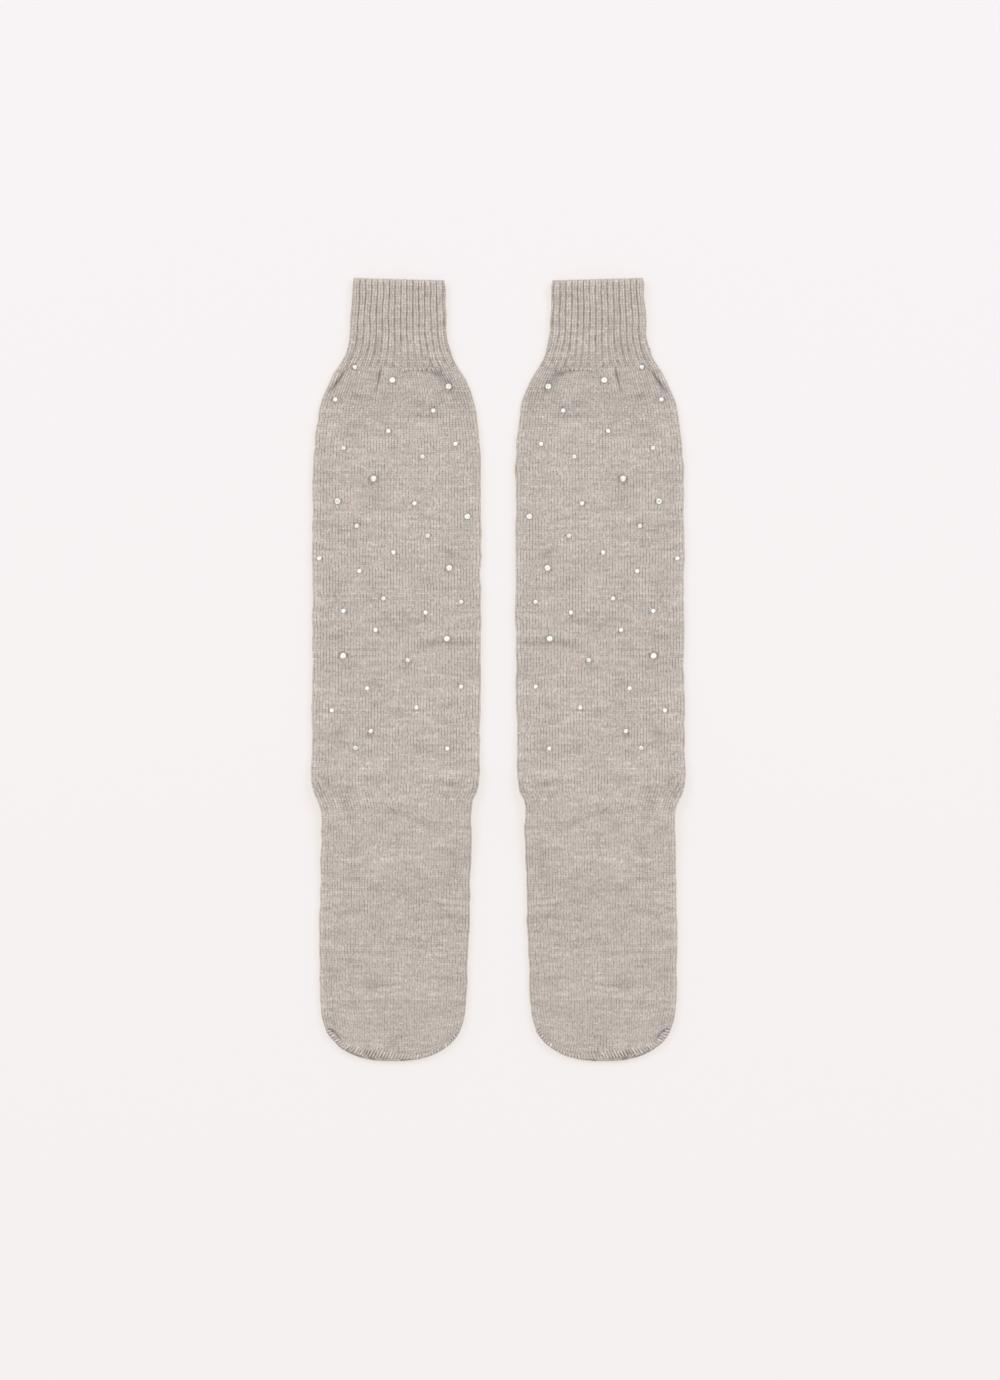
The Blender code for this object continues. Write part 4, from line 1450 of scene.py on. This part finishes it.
def rib_columns():
    """The wales' numbers at the cuff's columns, from fold to fold. A knit wale has four columns, a purl one
    two."""
    ribs = np.arange(math.floor(LEFT_FOLD_RIB), math.ceil(RIGHT_FOLD_RIB))
    number = (ribs[:, None] * WALES_PER_RIB + np.array(RIB_STEPS)[None, :]).reshape(-1)
    first = LEFT_FOLD_RIB * WALES_PER_RIB
    last = RIGHT_FOLD_RIB * WALES_PER_RIB
    inside = number[(number > first + FOLD_CLEARANCE) & (number < last - FOLD_CLEARANCE)]
    return np.concatenate([[first], inside, [last]])


def rib_places(number, rows):
    """Where the cuff's columns run at each row, in plain wales: the ribs open out towards the seam."""
    open_share = ease((rows - CUFF_SEAM) / FAN_REACH)
    groove = GROOVE_SHARE + (GROOVE_OPEN - GROOVE_SHARE) * open_share
    within = number % WALES_PER_RIB
    knit_width = 0.5 * (1.0 - 2.0 * groove)
    first_purl = within * groove
    last_purl = 1.0 - (WALES_PER_RIB - within) * groove
    knit = groove + (within - 1.0) * knit_width
    place = np.where(within < 1.0, first_purl, np.where(within > WALES_PER_RIB - 1.0, last_purl, knit))
    rib = np.floor(number / WALES_PER_RIB) + place
    return WALES * np.clip((rib - LEFT_FOLD_RIB) / (RIGHT_FOLD_RIB - LEFT_FOLD_RIB), 0.0, 1.0)


def purl_row(wale, rows):
    """The bumps of a purl row, on every other wale, and the painted shade in the gaps between them."""
    row = np.exp(-(((CUFF_SEAM - rows - PURL_DROP) / PURL_WIDTH) ** 2))
    row = row * np.exp(-(((wale - PURL_MIDDLE) / PURL_SPREAD) ** PURL_SQUARENESS))
    bump = 0.5 + 0.5 * np.cos(math.pi * wale)
    return PURL_RISE * row * bump, PURL_GAP_SHADE * row * (1.0 - bump)


class SOCKS_OT_legs(KnitPiece, bpy.types.Operator):
    """Knit the plain legs"""

    bl_idname = "socks.legs"
    bl_label = "Legs"

    def make(self, prefix, side):
        rows, course = course_rows(HEEL_LINE, CUFF_SEAM)
        wale = plain_wales() + 0.0 * rows
        bumps, gaps = purl_row(wale, rows)
        wall = tube_wall(wale, rows, course, rise=bumps, groove=gaps)
        knitted(prefix, "leg", side, wall)


class SOCKS_OT_feet(KnitPiece, bpy.types.Operator):
    """Knit the plain feet"""

    bl_idname = "socks.feet"
    bl_label = "Feet"

    def make(self, prefix, side):
        rows, course = course_rows(TOE_LINE, HEEL_LINE)
        wall = tube_wall(plain_wales() + 0.0 * rows, rows, course, on_pouch=True)
        knitted(prefix, "foot", side, wall)


# --------------------------------------------------------------------------------------------------
# Toes
# --------------------------------------------------------------------------------------------------


def toe_half(along):
    """Half the toe's width, as a share of its width at the toe line."""
    reach = np.clip((TOE_LINE - along) / TOE_DEPTH, 0.0, 1.0)
    return (1.0 - reach**TOE_ROUNDNESS) ** (1.0 / TOE_ROUNDNESS)


def toe_along(half):
    """Where the toe's outline has that half width, the inverse of toe_half."""
    return TOE_LINE - TOE_DEPTH * (1.0 - np.clip(half, 0.0, 1.0) ** TOE_ROUNDNESS) ** (1.0 / TOE_ROUNDNESS)


def toe_line():
    """The middle of the toe line and half its width."""
    left, right = edges(np.array(TOE_LINE))
    return 0.5 * (left + right), 0.5 * (right - left)


def toe_plan(share, down):
    """Plan of a point of the toe: share is its place across the toe line, -1 to 1, and down runs from 0 there
    to 1 at the seam. Each wale leaves the toe line straight and turns to meet the seam squarely."""
    middle, full = toe_line()
    size = np.abs(share)
    end = SEAM_SPAN * size * (1.0 + TOE_SPREAD * (1.0 - size))
    end_along = toe_along(end)
    length = TOE_LINE - end_along
    out_x = end ** (TOE_ROUNDNESS - 1.0) / full
    out_along = (length / TOE_DEPTH) ** (TOE_ROUNDNESS - 1.0) / TOE_DEPTH
    pull = TOE_TURN * (1.0 - size**TURN_POWER) * length / np.hypot(out_x, out_along)
    rise, start, stop = curve_shares(down)
    along = TOE_LINE - length * (rise + start) - out_along * pull * stop
    straight = size + (end - size) * rise + out_x * pull * stop / full
    hug = size**HUG_POWER
    path = hug * size * toe_half(along) + (1.0 - hug) * straight
    last = hug * size * toe_half(end_along) + (1.0 - hug) * end
    path = path * (1.0 + (end / np.maximum(last, TINY) - 1.0) * down**SETTLE_POWER)
    return middle + np.sign(share) * path * full, along


def toe_outline(count):
    """Points round the toe's outline, from the left end of the toe line to the right one."""
    middle, full = toe_line()
    turn = np.linspace(-QUARTER_TURN, QUARTER_TURN, count + 1)
    half = np.abs(np.sin(turn)) ** (2.0 / TOE_ROUNDNESS)
    reach = np.cos(turn) ** (2.0 / TOE_ROUNDNESS)
    return np.stack([middle + np.sign(turn) * half * full, TOE_LINE - TOE_DEPTH * reach], axis=-1)


def depth_inside(x, along):
    """How far a point of the toe is from its outline."""
    outline = toe_outline(TOE_STEPS)
    beyond = TOE_LINE + BEYOND_TOE
    line = np.concatenate([[[outline[0, 0], beyond]], outline, [[outline[-1, 0], beyond]]])
    nearest = np.full(x.shape, np.inf)
    for one, other in zip(line[:-1], line[1:]):
        step = other - one
        length = float(step @ step)
        t = ((x - one[0]) * step[0] + (along - one[1]) * step[1]) / max(length, TINY)
        t = np.clip(t, 0.0, 1.0)
        nearest = np.minimum(nearest, np.hypot(x - one[0] - t * step[0], along - one[1] - t * step[1]))
    return nearest


def roundness(inside):
    """How far a side's round has risen, 0 to 1, that far inside the outline."""
    return np.sqrt(1.0 - (1.0 - np.clip(inside / SIDE_RADIUS, 0.0, 1.0)) ** 2)


def wale_room(x, along):
    """How wide each wale is at the points of a grid, as a share of a plain wale."""
    across = np.gradient(np.stack([x, along]), axis=2) * STEPS_PER_WALE / PLAIN_WALE
    down = np.gradient(np.stack([x, along]), axis=1)
    area = np.abs(across[0] * down[1] - across[1] * down[0])
    return area / np.maximum(np.hypot(down[0], down[1]), TINY)


def seam_gap_shade(x, inside, down):
    """How dark the painted shade in the gaps between the linking stitches makes the toe, from 0 to 1."""
    middle, _ = toe_line()
    reach = SEAM_STITCH * ease(np.abs(x - middle - SEAM_LONGEST) / SEAM_EASE)
    near = ease(np.maximum(inside - GAP_REACH * reach, 0.0) / GAP_FADE)
    return SEAM_GAP_SHADE * (near * (reach / SEAM_STITCH) * ease((GAP_FULL - down) / GAP_RISE))


def toe_front(wall):
    """The toe's front. Gives back its columns' and rows' places, its points and their numbers."""
    middle, full = toe_line()
    wale = plain_wales()
    courses = course_count(0.0, TOE_LINE)
    down = np.linspace(0.0, 1.0, courses * STEPS_PER_COURSE + 1)[:, None]
    open_line = front_of_tube(wale, np.array([[TOE_LINE]]))[0]
    share = ((open_line[:, 0] - middle) / full)[None, :]
    x, along = toe_plan(share + 0.0 * down, down + 0.0 * share)
    inside = depth_inside(x, along)
    left, right = edges(np.array(TOE_LINE))
    centre = top_level(np.clip(x, left + SIDE_RADIUS, right - SIDE_RADIUS), along) - SIDE_RADIUS
    lower = (wale < 0.0) | (wale > WALES)
    z = np.where(lower, centre - centre * roundness(inside), centre + SIDE_RADIUS * roundness(inside))
    z[0] = open_line[:, 2]
    front = np.stack([x, along, z], axis=-1)
    room = np.clip(wale_room(x, along), 0.0, 1.0) ** (1.0 - ease(down / ROOM_REACH))
    strength = fold_fade(wale) * ease((down - TOE_FADE_START) / TOE_FADE) * room
    # Painted shade in the gaps between the linking stitches.
    groove = seam_gap_shade(x, inside, down) * ~lower
    # Painted shading: the folds' shade and light, and the edges' painted light.
    light = edge_light(x, along, inside) * ease(down / EDGE_LIGHT_DOWN)
    shade = (hollow(x, along) - light) * fold_fade(wale)
    course = first_course(TOE_LINE) + courses * down
    up = grid_normals(front)
    number = wall.add(front, wale, course, strength, groove=groove, up=up, hollow=shade)
    wall.weave(number)
    return share[0], down[:, 0], front, number


def toe_rest(wall, share, down, front_number):
    """The toe's resting side, joined to its front along the sides and the tip."""
    rest_down = np.linspace(0.0, 1.0, TOE_REST_ROWS + 1)[:-1, None]
    rest_share = np.linspace(share[-1], share[0], REST_STEPS + 1)[None, 1:-1]
    x, along = toe_plan(rest_share + 0.0 * rest_down, rest_down + 0.0 * rest_share)
    z = SIDE_RADIUS * (1.0 - roundness(depth_inside(x, along)))
    rest = np.stack([x, along, z], axis=-1)
    wale = WALES * 1.5 - rest_share * 0.5 * WALES
    number = wall.add(rest, wale, course_count(0.0, TOE_LINE) * rest_down)
    wall.weave(number)
    places = np.append(rest_down[:, 0], 1.0)
    wall.zip(front_number[:, -1], down, np.append(number[:, 0], front_number[-1, -1]), places)
    wall.zip(front_number[:, 0], down, np.append(number[:, -1], front_number[-1, 0]), places)
    wall.zip(front_number[-1], share, number[-1, ::-1], rest_share[0, ::-1])
    return rest, number


def toe_inside(wall):
    """The toe's inner face, which closes flat at the tip."""
    middle, full = toe_line()
    ring = inside_ring()
    across = 1.0 - np.abs(1.0 - 2.0 * ring)
    share = (2.0 * across - 1.0)[None, :]
    down = np.linspace(0.0, 1.0, TOE_INSIDE_ROWS + 1)[:-1, None]
    x, along = toe_plan(share + 0.0 * down, down + 0.0 * share)
    x = middle + (x - middle) * (1.0 - WALL / full)
    along = TOE_LINE - (TOE_LINE - along) * (1.0 - WALL / TOE_DEPTH)
    first_ring = inside_of_tube(ring[None, :], np.array([[TOE_LINE]]))[0]
    z = SIDE_RADIUS + (first_ring[None, :, 2] + 0.0 * x - SIDE_RADIUS) * ease(down)
    inner = np.stack([x, along, z], axis=-1)
    inner[0] = first_ring
    number = wall.add(inner, wale_at(ring)[None, :], course_count(0.0, TOE_LINE) * down)
    wall.weave(np.concatenate([number, number[:, :1]], axis=1))
    top_half = number[-1, : INSIDE_STEPS + 1]
    low_half = ring_line(number[-1])[: INSIDE_STEPS - 1 : -1]
    for step in range(INSIDE_STEPS):
        quad = [top_half[step], top_half[step + 1], low_half[step + 1], low_half[step]]
        wall.faces.append([int(v) for i, v in enumerate(quad) if v not in quad[:i]])
    return inner, number


def toe_wall():
    """The closed toe: its front, its resting side and its inside, which meet at the foot's end."""
    wall = Wall()
    share, down, front, front_number = toe_front(wall)
    rest, rest_number = toe_rest(wall, share, down, front_number)
    inner, inner_number = toe_inside(wall)
    outer = np.concatenate([front_number[0], rest_number[0], front_number[0, :1]])
    outer_points = np.concatenate([front[0], rest[0], front[0, :1]])
    close_end(wall, outer, outer_points, inner_number[0], inner[0], -1.0)
    return wall


class SOCKS_OT_toes(KnitPiece, bpy.types.Operator):
    """Knit the closed toes"""

    bl_idname = "socks.toes"
    bl_label = "Toes"

    def make(self, prefix, side):
        knitted(prefix, "toe", side, toe_wall())


# --------------------------------------------------------------------------------------------------
# Heels
# --------------------------------------------------------------------------------------------------

EdgePoint = namedtuple("EdgePoint", "inset z")
POUCH_EDGE = (
    EdgePoint(0.9, 0.0),
    EdgePoint(0.45, 0.06),
    EdgePoint(0.15, 0.25),
    EdgePoint(0.0, 0.5),
    EdgePoint(0.15, 0.78),
    EdgePoint(0.55, 0.97),
    EdgePoint(0.55, 1.03),
    EdgePoint(0.15, 1.22),
    EdgePoint(0.0, 1.5),
    EdgePoint(0.15, 1.75),
    EdgePoint(0.45, 1.94),
    EdgePoint(0.9, 2.0),
)
POUCH_STEPS = 28
POUCH_COLUMNS = 12


def pouch_outline(inset):
    """The heel pocket's outline: down its left side, round the tip, up its right side and back across."""
    length = POUCH_LENGTH - inset
    down = length * np.sin(QUARTER_TURN * np.arange(POUCH_STEPS) / POUCH_STEPS)
    corner = (1.0 - (down / length) ** POUCH_CORNERS) ** (1.0 / POUCH_CORNERS)
    half = (POUCH_BASE + (POUCH_TIP - POUCH_BASE) * down / POUCH_LENGTH - inset) * corner
    start = HEEL_LINE - 0.5 * POUCH_GAP
    left = np.stack([POUCH_MIDDLE - half, start - down], axis=-1)
    tip = np.array([[POUCH_MIDDLE, start - length]])
    right = np.stack([POUCH_MIDDLE + half[::-1], start - down[::-1]], axis=-1)
    back = np.linspace(right[-1], left[0], POUCH_COLUMNS + 1)[1:-1]
    return np.concatenate([left, tip, right, back])


def pouch_knit(points):
    """The wale and the course at points of the heel pocket."""
    wale = points[..., 0] / PLAIN_WALE + 0.5 * WALES
    course = (HEEL_LINE - points[..., 1]) / course_height()
    return wale, course


def heel_wall():
    """The folded heel pocket: two layers parted by a groove round the edge."""
    wall = Wall()
    rings = []
    for point in POUCH_EDGE:
        plan = pouch_outline(point.inset * POUCH_LAYER)
        z = np.full((len(plan), 1), point.z * POUCH_LAYER)
        rings.append(np.concatenate([plan, z], axis=1))
    rings = np.stack(rings)
    number = wall.add(rings, *pouch_knit(rings))
    wall.weave(np.concatenate([number, number[:, :1]], axis=1))
    tip = POUCH_STEPS
    for row in (0, -1):
        left = rings[row, 1:tip]
        right = rings[row, 2 * tip - 1 : tip : -1]
        columns = np.linspace(0.0, 1.0, POUCH_COLUMNS + 1)[None, 1:-1, None]
        filling = left[:, None, :] + (right - left)[:, None, :] * columns
        inner = wall.add(filling, *pouch_knit(filling))
        back = number[row, : 2 * tip : -1]
        first = np.concatenate([number[row, :1], back, number[row, 2 * tip : 2 * tip + 1]])
        sides = [number[row, 1:tip, None], inner, number[row, 2 * tip - 1 : tip : -1, None]]
        whole = np.concatenate([first[None, :], np.concatenate(sides, axis=1)])
        wall.weave(whole)
        for a, b in zip(whole[-1, :-1], whole[-1, 1:]):
            wall.faces.append([int(a), int(b), int(number[row, tip])])
    return wall


class SOCKS_OT_heels(KnitPiece, bpy.types.Operator):
    """Knit the heel pockets folded under the feet"""

    bl_idname = "socks.heels"
    bl_label = "Heels"

    def make(self, prefix, side):
        knitted(prefix, "heel", side, heel_wall())


# --------------------------------------------------------------------------------------------------
# Hems, toe seams and crystals
# --------------------------------------------------------------------------------------------------


def yarn_loop(name, loop):
    """A fat bight of yarn: X is its way along the line it is sewn on, and its ends in Y hang down."""
    length, width, height, droop = (size * MM for size in loop)
    shape = bmesh.new()
    size = {"u_segments": LOOP_SEGMENTS, "v_segments": LOOP_SEGMENTS, "radius": 0.5}
    bmesh.ops.create_uvsphere(shape, matrix=Matrix.Rotation(QUARTER_TURN, 4, "X"), **size)
    for vertex in shape.verts:
        end = 2.0 * vertex.co.y
        fat = math.sqrt(1.0 + end * end)
        z = vertex.co.z * height * fat - droop * end**2
        vertex.co = (vertex.co.x * length * fat, vertex.co.y * width, z)
    data = bpy.data.meshes.new(name)
    shape.to_mesh(data)
    shape.free()
    mark(data, "wale", [vertex.co.y / width + 0.5 * vertex.co.x / length for vertex in data.vertices])
    data.shade_smooth()
    return linked(name, data)


def path_mesh(name, side, points, up, size):
    """A line of edges in the pair's frame, with which way is up at each point and the size of what stands
    there."""
    data = bpy.data.meshes.new(name)
    data.from_pydata(in_pair(points, side), [(i, i + 1) for i in range(len(points) - 1)], [])
    mark_up(data, up, side)
    mark(data, "size", np.broadcast_to(size, len(points)))
    return data


def sewn_line(name, side, line, loop, pitch, lean, seed, part):
    """Copies of a loop along a line of points, ways up and sizes, in the yarn of one part."""
    item = linked(name, path_mesh(name, side, *line))
    shape = yarn_loop(f"{name}_loop", loop)
    run_tree(
        item,
        tree_for("sewn stitches", sewn_tree),
        {
            "Shape": shape,
            "Pitch": pitch * MM,
            "Lean": lean,
            "Unevenness": LOOP_UNEVENNESS,
            "Seed": seed,
            "Material": material_for(part),
        },
    )
    bpy.data.objects.remove(shape)
    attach(item, "root")


class SOCKS_OT_hems(KnitPiece, bpy.types.Operator):
    """Bind the cuffs' edges with their cast-on loops"""

    bl_idname = "socks.hems"
    bl_label = "Hems"

    def make(self, prefix, side):
        place = np.array([[SOCK_LENGTH]])
        front = front_of_tube(np.linspace(0.0, WALES, HEM_STEPS + 1)[None, :], place)[0]
        left, _ = edges(np.array(SOCK_LENGTH))
        front[:, 1] += HEM_SLOPE * (front[:, 0] - left) + HEM_ABOVE
        front[:, 2] -= HEM_UNDER
        line = (front, np.tile(HEM_UP, (len(front), 1)), 1.0)
        sewn_line(f"{prefix}_hem", side, line, HEM_LOOP, HEM_PITCH, 0.0, HEM_SEED, "cuff")


class SOCKS_OT_toe_seams(KnitPiece, bpy.types.Operator):
    """Link the toes shut round their edges"""

    bl_idname = "socks.toe_seams"
    bl_label = "Toe seams"

    def make(self, prefix, side):
        outline = toe_outline(SEAM_STEPS)
        middle, full = toe_line()
        on_seam = np.abs(outline[:, 0] - middle) <= SEAM_SPAN * full
        low = outline[:, 1] < toe_along(SEAM_SPAN) + SEAM_MARGIN
        plan = outline[on_seam & low]
        step = np.gradient(plan, axis=0)
        step /= np.linalg.norm(step, axis=1, keepdims=True)
        inward = np.stack([-step[:, 1], step[:, 0]], axis=-1)
        if inward[len(inward) // 2, 1] < 0.0:
            inward = -inward
        place = (plan[:, 0] - middle - SEAM_LONGEST) / SEAM_EASE
        size = SEAM_LEAST + (1.0 - SEAM_LEAST) * ease(np.abs(place))
        plan = plan + inward * (0.5 * SEAM_STITCH * size)[:, None]
        points = np.concatenate([plan, np.full((len(plan), 1), TUBE_HEIGHT + SEAM_RISE)], axis=1)
        up = np.concatenate([-SEAM_OUT * inward, np.full((len(plan), 1), SEAM_UP)], axis=1)
        line = (points, up, size)
        sewn_line(
            f"{prefix}_toe_seam", side, line, SEAM_LOOP, SEAM_PITCH, side * SEAM_LEAN, SEAM_SEED, "seam"
        )


def cut_stone(height):
    """One flat-backed stone of radius 1, with a value for each facet and one for its edge."""
    shape = bmesh.new()
    rows = []
    for cut in STONE_CUT:
        count = STONE_SIDES * cut.sides
        angles = [math.tau * (index + cut.turn) / count for index in range(count)]
        ring = [(cut.radius * math.cos(angle), cut.radius * math.sin(angle)) for angle in angles]
        rows.append([shape.verts.new((x, y, cut.z * height)) for x, y in ring])
    back, foot, girdle, table = rows
    shape.faces.new(back[::-1])
    shape.faces.new(table)
    for low, high in ((back, foot), (foot, girdle)):
        for index, vertex in enumerate(low):
            after = (index + 1) % len(low)
            shape.faces.new((vertex, low[after], high[after], high[index]))
    for index, vertex in enumerate(table):
        after = (index + 1) % len(table)
        near = 2 * index + 1
        far = (near + 1) % len(girdle)
        shape.faces.new((girdle[near - 1], girdle[near], vertex))
        shape.faces.new((girdle[near], girdle[far], vertex))
        shape.faces.new((girdle[far], table[after], vertex))
    bmesh.ops.recalc_face_normals(shape, faces=shape.faces)
    data = bpy.data.meshes.new("cut_stone")
    shape.to_mesh(data)
    shape.free()
    mark(data, "facet", [(FACET_STEP * face.index) % 1.0 for face in data.polygons], "FACE")
    low = [face.center.z < GIRDLE_TOP * height for face in data.polygons]
    mark(data, "girdle", low, "FACE")
    return linked("cut_stone", data)


class SOCKS_OT_crystals(KnitPiece, bpy.types.Operator):
    """Stick the crystals on the fronts of the legs"""

    bl_idname = "socks.crystals"
    bl_label = "Crystals"

    def make(self, prefix, side):
        sizes = bpy.context.scene.sock_crystals
        stones = LARGE_STONES + SMALL_STONES
        x = np.array([stone.x for stone in stones])
        along = np.array([stone.along for stone in stones])
        size = np.array([sizes.large_radius] * len(LARGE_STONES) + [sizes.small_radius] * len(SMALL_STONES))
        reach = SLOPE_REACH
        rise_x = (self.level(x + reach, along) - self.level(x - reach, along)) / (2.0 * reach)
        rise_along = (self.level(x, along + reach) - self.level(x, along - reach)) / (2.0 * reach)
        up = np.stack([-rise_x, -rise_along, np.ones(len(x))], axis=-1)
        up /= np.linalg.norm(up, axis=1, keepdims=True)
        points = np.stack([x, along, self.level(x, along)], axis=-1) + up * STONE_LIFT
        item = linked(f"{prefix}_crystals", path_mesh(f"{prefix}_crystals", side, points, up, size))
        shape = cut_stone(sizes.height_share)
        material = bpy.data.materials.get("cut_glass") or crystal_material()
        run_tree(
            item,
            tree_for("set stones", scatter_tree),
            {"Shape": shape, "Seed": sizes.seed, "Material": material},
        )
        bpy.data.objects.remove(shape)
        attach(item, "root")
        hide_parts(*[f"{prefix}_crystal_{number + 1}" for number in range(len(LARGE_STONES))])

    @staticmethod
    def level(x, along):
        """The front's height where a crystal may lie near one of its folds."""
        left, right = edges(along)
        return top_level(np.clip(x, left + SIDE_RADIUS, right - SIDE_RADIUS), along)


# --------------------------------------------------------------------------------------------------
# Stage
# --------------------------------------------------------------------------------------------------


def soft_light(name, place, power):
    """A wide round light that shines on the middle of the pair."""
    data = bpy.data.lights.new(name, "AREA")
    data.shape = "DISK"
    data.size = LIGHT_SIZE
    data.energy = power
    light = linked(name, data)
    light.location = place
    light.rotation_mode = "QUATERNION"
    light.rotation_quaternion = (-Vector(place)).to_track_quat("-Z", "Y")


class SOCKS_OT_stage(bpy.types.Operator):
    """Set the floor, the soft studio light and the camera straight above"""

    bl_idname = "socks.stage"
    bl_label = "Stage"
    bl_options = {"REGISTER", "UNDO"}

    def execute(self, context):
        stage = context.scene.sock_stage
        scene = context.scene
        shape = bmesh.new()
        bmesh.ops.create_grid(shape, x_segments=1, y_segments=1, size=FLOOR_SIZE)
        data = bpy.data.meshes.new("studio_floor")
        shape.to_mesh(data)
        shape.free()
        floor = linked("studio_floor", data)
        floor.location = (0.0, 0.0, -FLOOR_DROP)
        colours = {"Base Color": opaque(stage.floor_colour), "Emission Color": opaque(stage.floor_glow)}
        material, _, _ = new_material("studio_floor", {**FLOOR_SURFACE, **colours})
        data.materials.append(material)

        world = bpy.data.worlds.new("studio")
        world.use_nodes = True
        background = world.node_tree.nodes["Background"]
        background.inputs["Color"].default_value = ROOM_COLOUR
        background.inputs["Strength"].default_value = stage.world_light
        scene.world = world
        soft_light("key", KEY_PLACE, stage.key_power)
        soft_light("fill", FILL_PLACE, stage.fill_power)

        lens = bpy.data.cameras.new("camera")
        lens.lens = stage.lens
        lens.sensor_width = SENSOR_WIDTH
        camera = linked("camera", lens)
        distance = stage.frame_height * stage.lens / lens.sensor_width
        camera.location = (CAMERA_X, CAMERA_Y, distance + TUBE_HEIGHT * MM)
        scene.camera = camera
        scene.view_settings.view_transform = "Standard"
        return {"FINISHED"}


PIECES = (
    SOCKS_OT_cuffs,
    SOCKS_OT_legs,
    SOCKS_OT_heels,
    SOCKS_OT_feet,
    SOCKS_OT_toes,
    SOCKS_OT_hems,
    SOCKS_OT_toe_seams,
    SOCKS_OT_crystals,
    SOCKS_OT_stage,
)


class SOCKS_PT_panel(bpy.types.Panel):
    """The socks' settings and pieces, in the sidebar"""

    bl_idname = "SOCKS_PT_panel"
    bl_label = "Knit socks"
    bl_space_type = "VIEW_3D"
    bl_region_type = "UI"
    bl_category = "Socks"

    def draw(self, context):
        for name in ("sock_knit", "sock_yarn", "sock_crystals", "sock_stage"):
            settings = getattr(context.scene, name)
            box = self.layout.box()
            for prop in settings.bl_rna.properties:
                if prop.identifier not in ("rna_type", "name"):
                    box.prop(settings, prop.identifier)
        for piece in PIECES:
            self.layout.operator(piece.bl_idname)


SETTINGS = {
    "sock_knit": SockKnitSettings,
    "sock_yarn": SockYarnSettings,
    "sock_crystals": SockCrystalSettings,
    "sock_stage": SockStageSettings,
}


def register():
    for kind in (*SETTINGS.values(), *PIECES, SOCKS_PT_panel):
        bpy.utils.register_class(kind)
    for name, kind in SETTINGS.items():
        setattr(bpy.types.Scene, name, PointerProperty(type=kind))


def unregister():
    for name in SETTINGS:
        delattr(bpy.types.Scene, name)
    for kind in reversed((*SETTINGS.values(), *PIECES, SOCKS_PT_panel)):
        bpy.utils.unregister_class(kind)


def main():
    register()
    for piece in PIECES:
        group, name = piece.bl_idname.split(".")
        getattr(getattr(bpy.ops, group), name)()


if __name__ == "__main__":
    main()
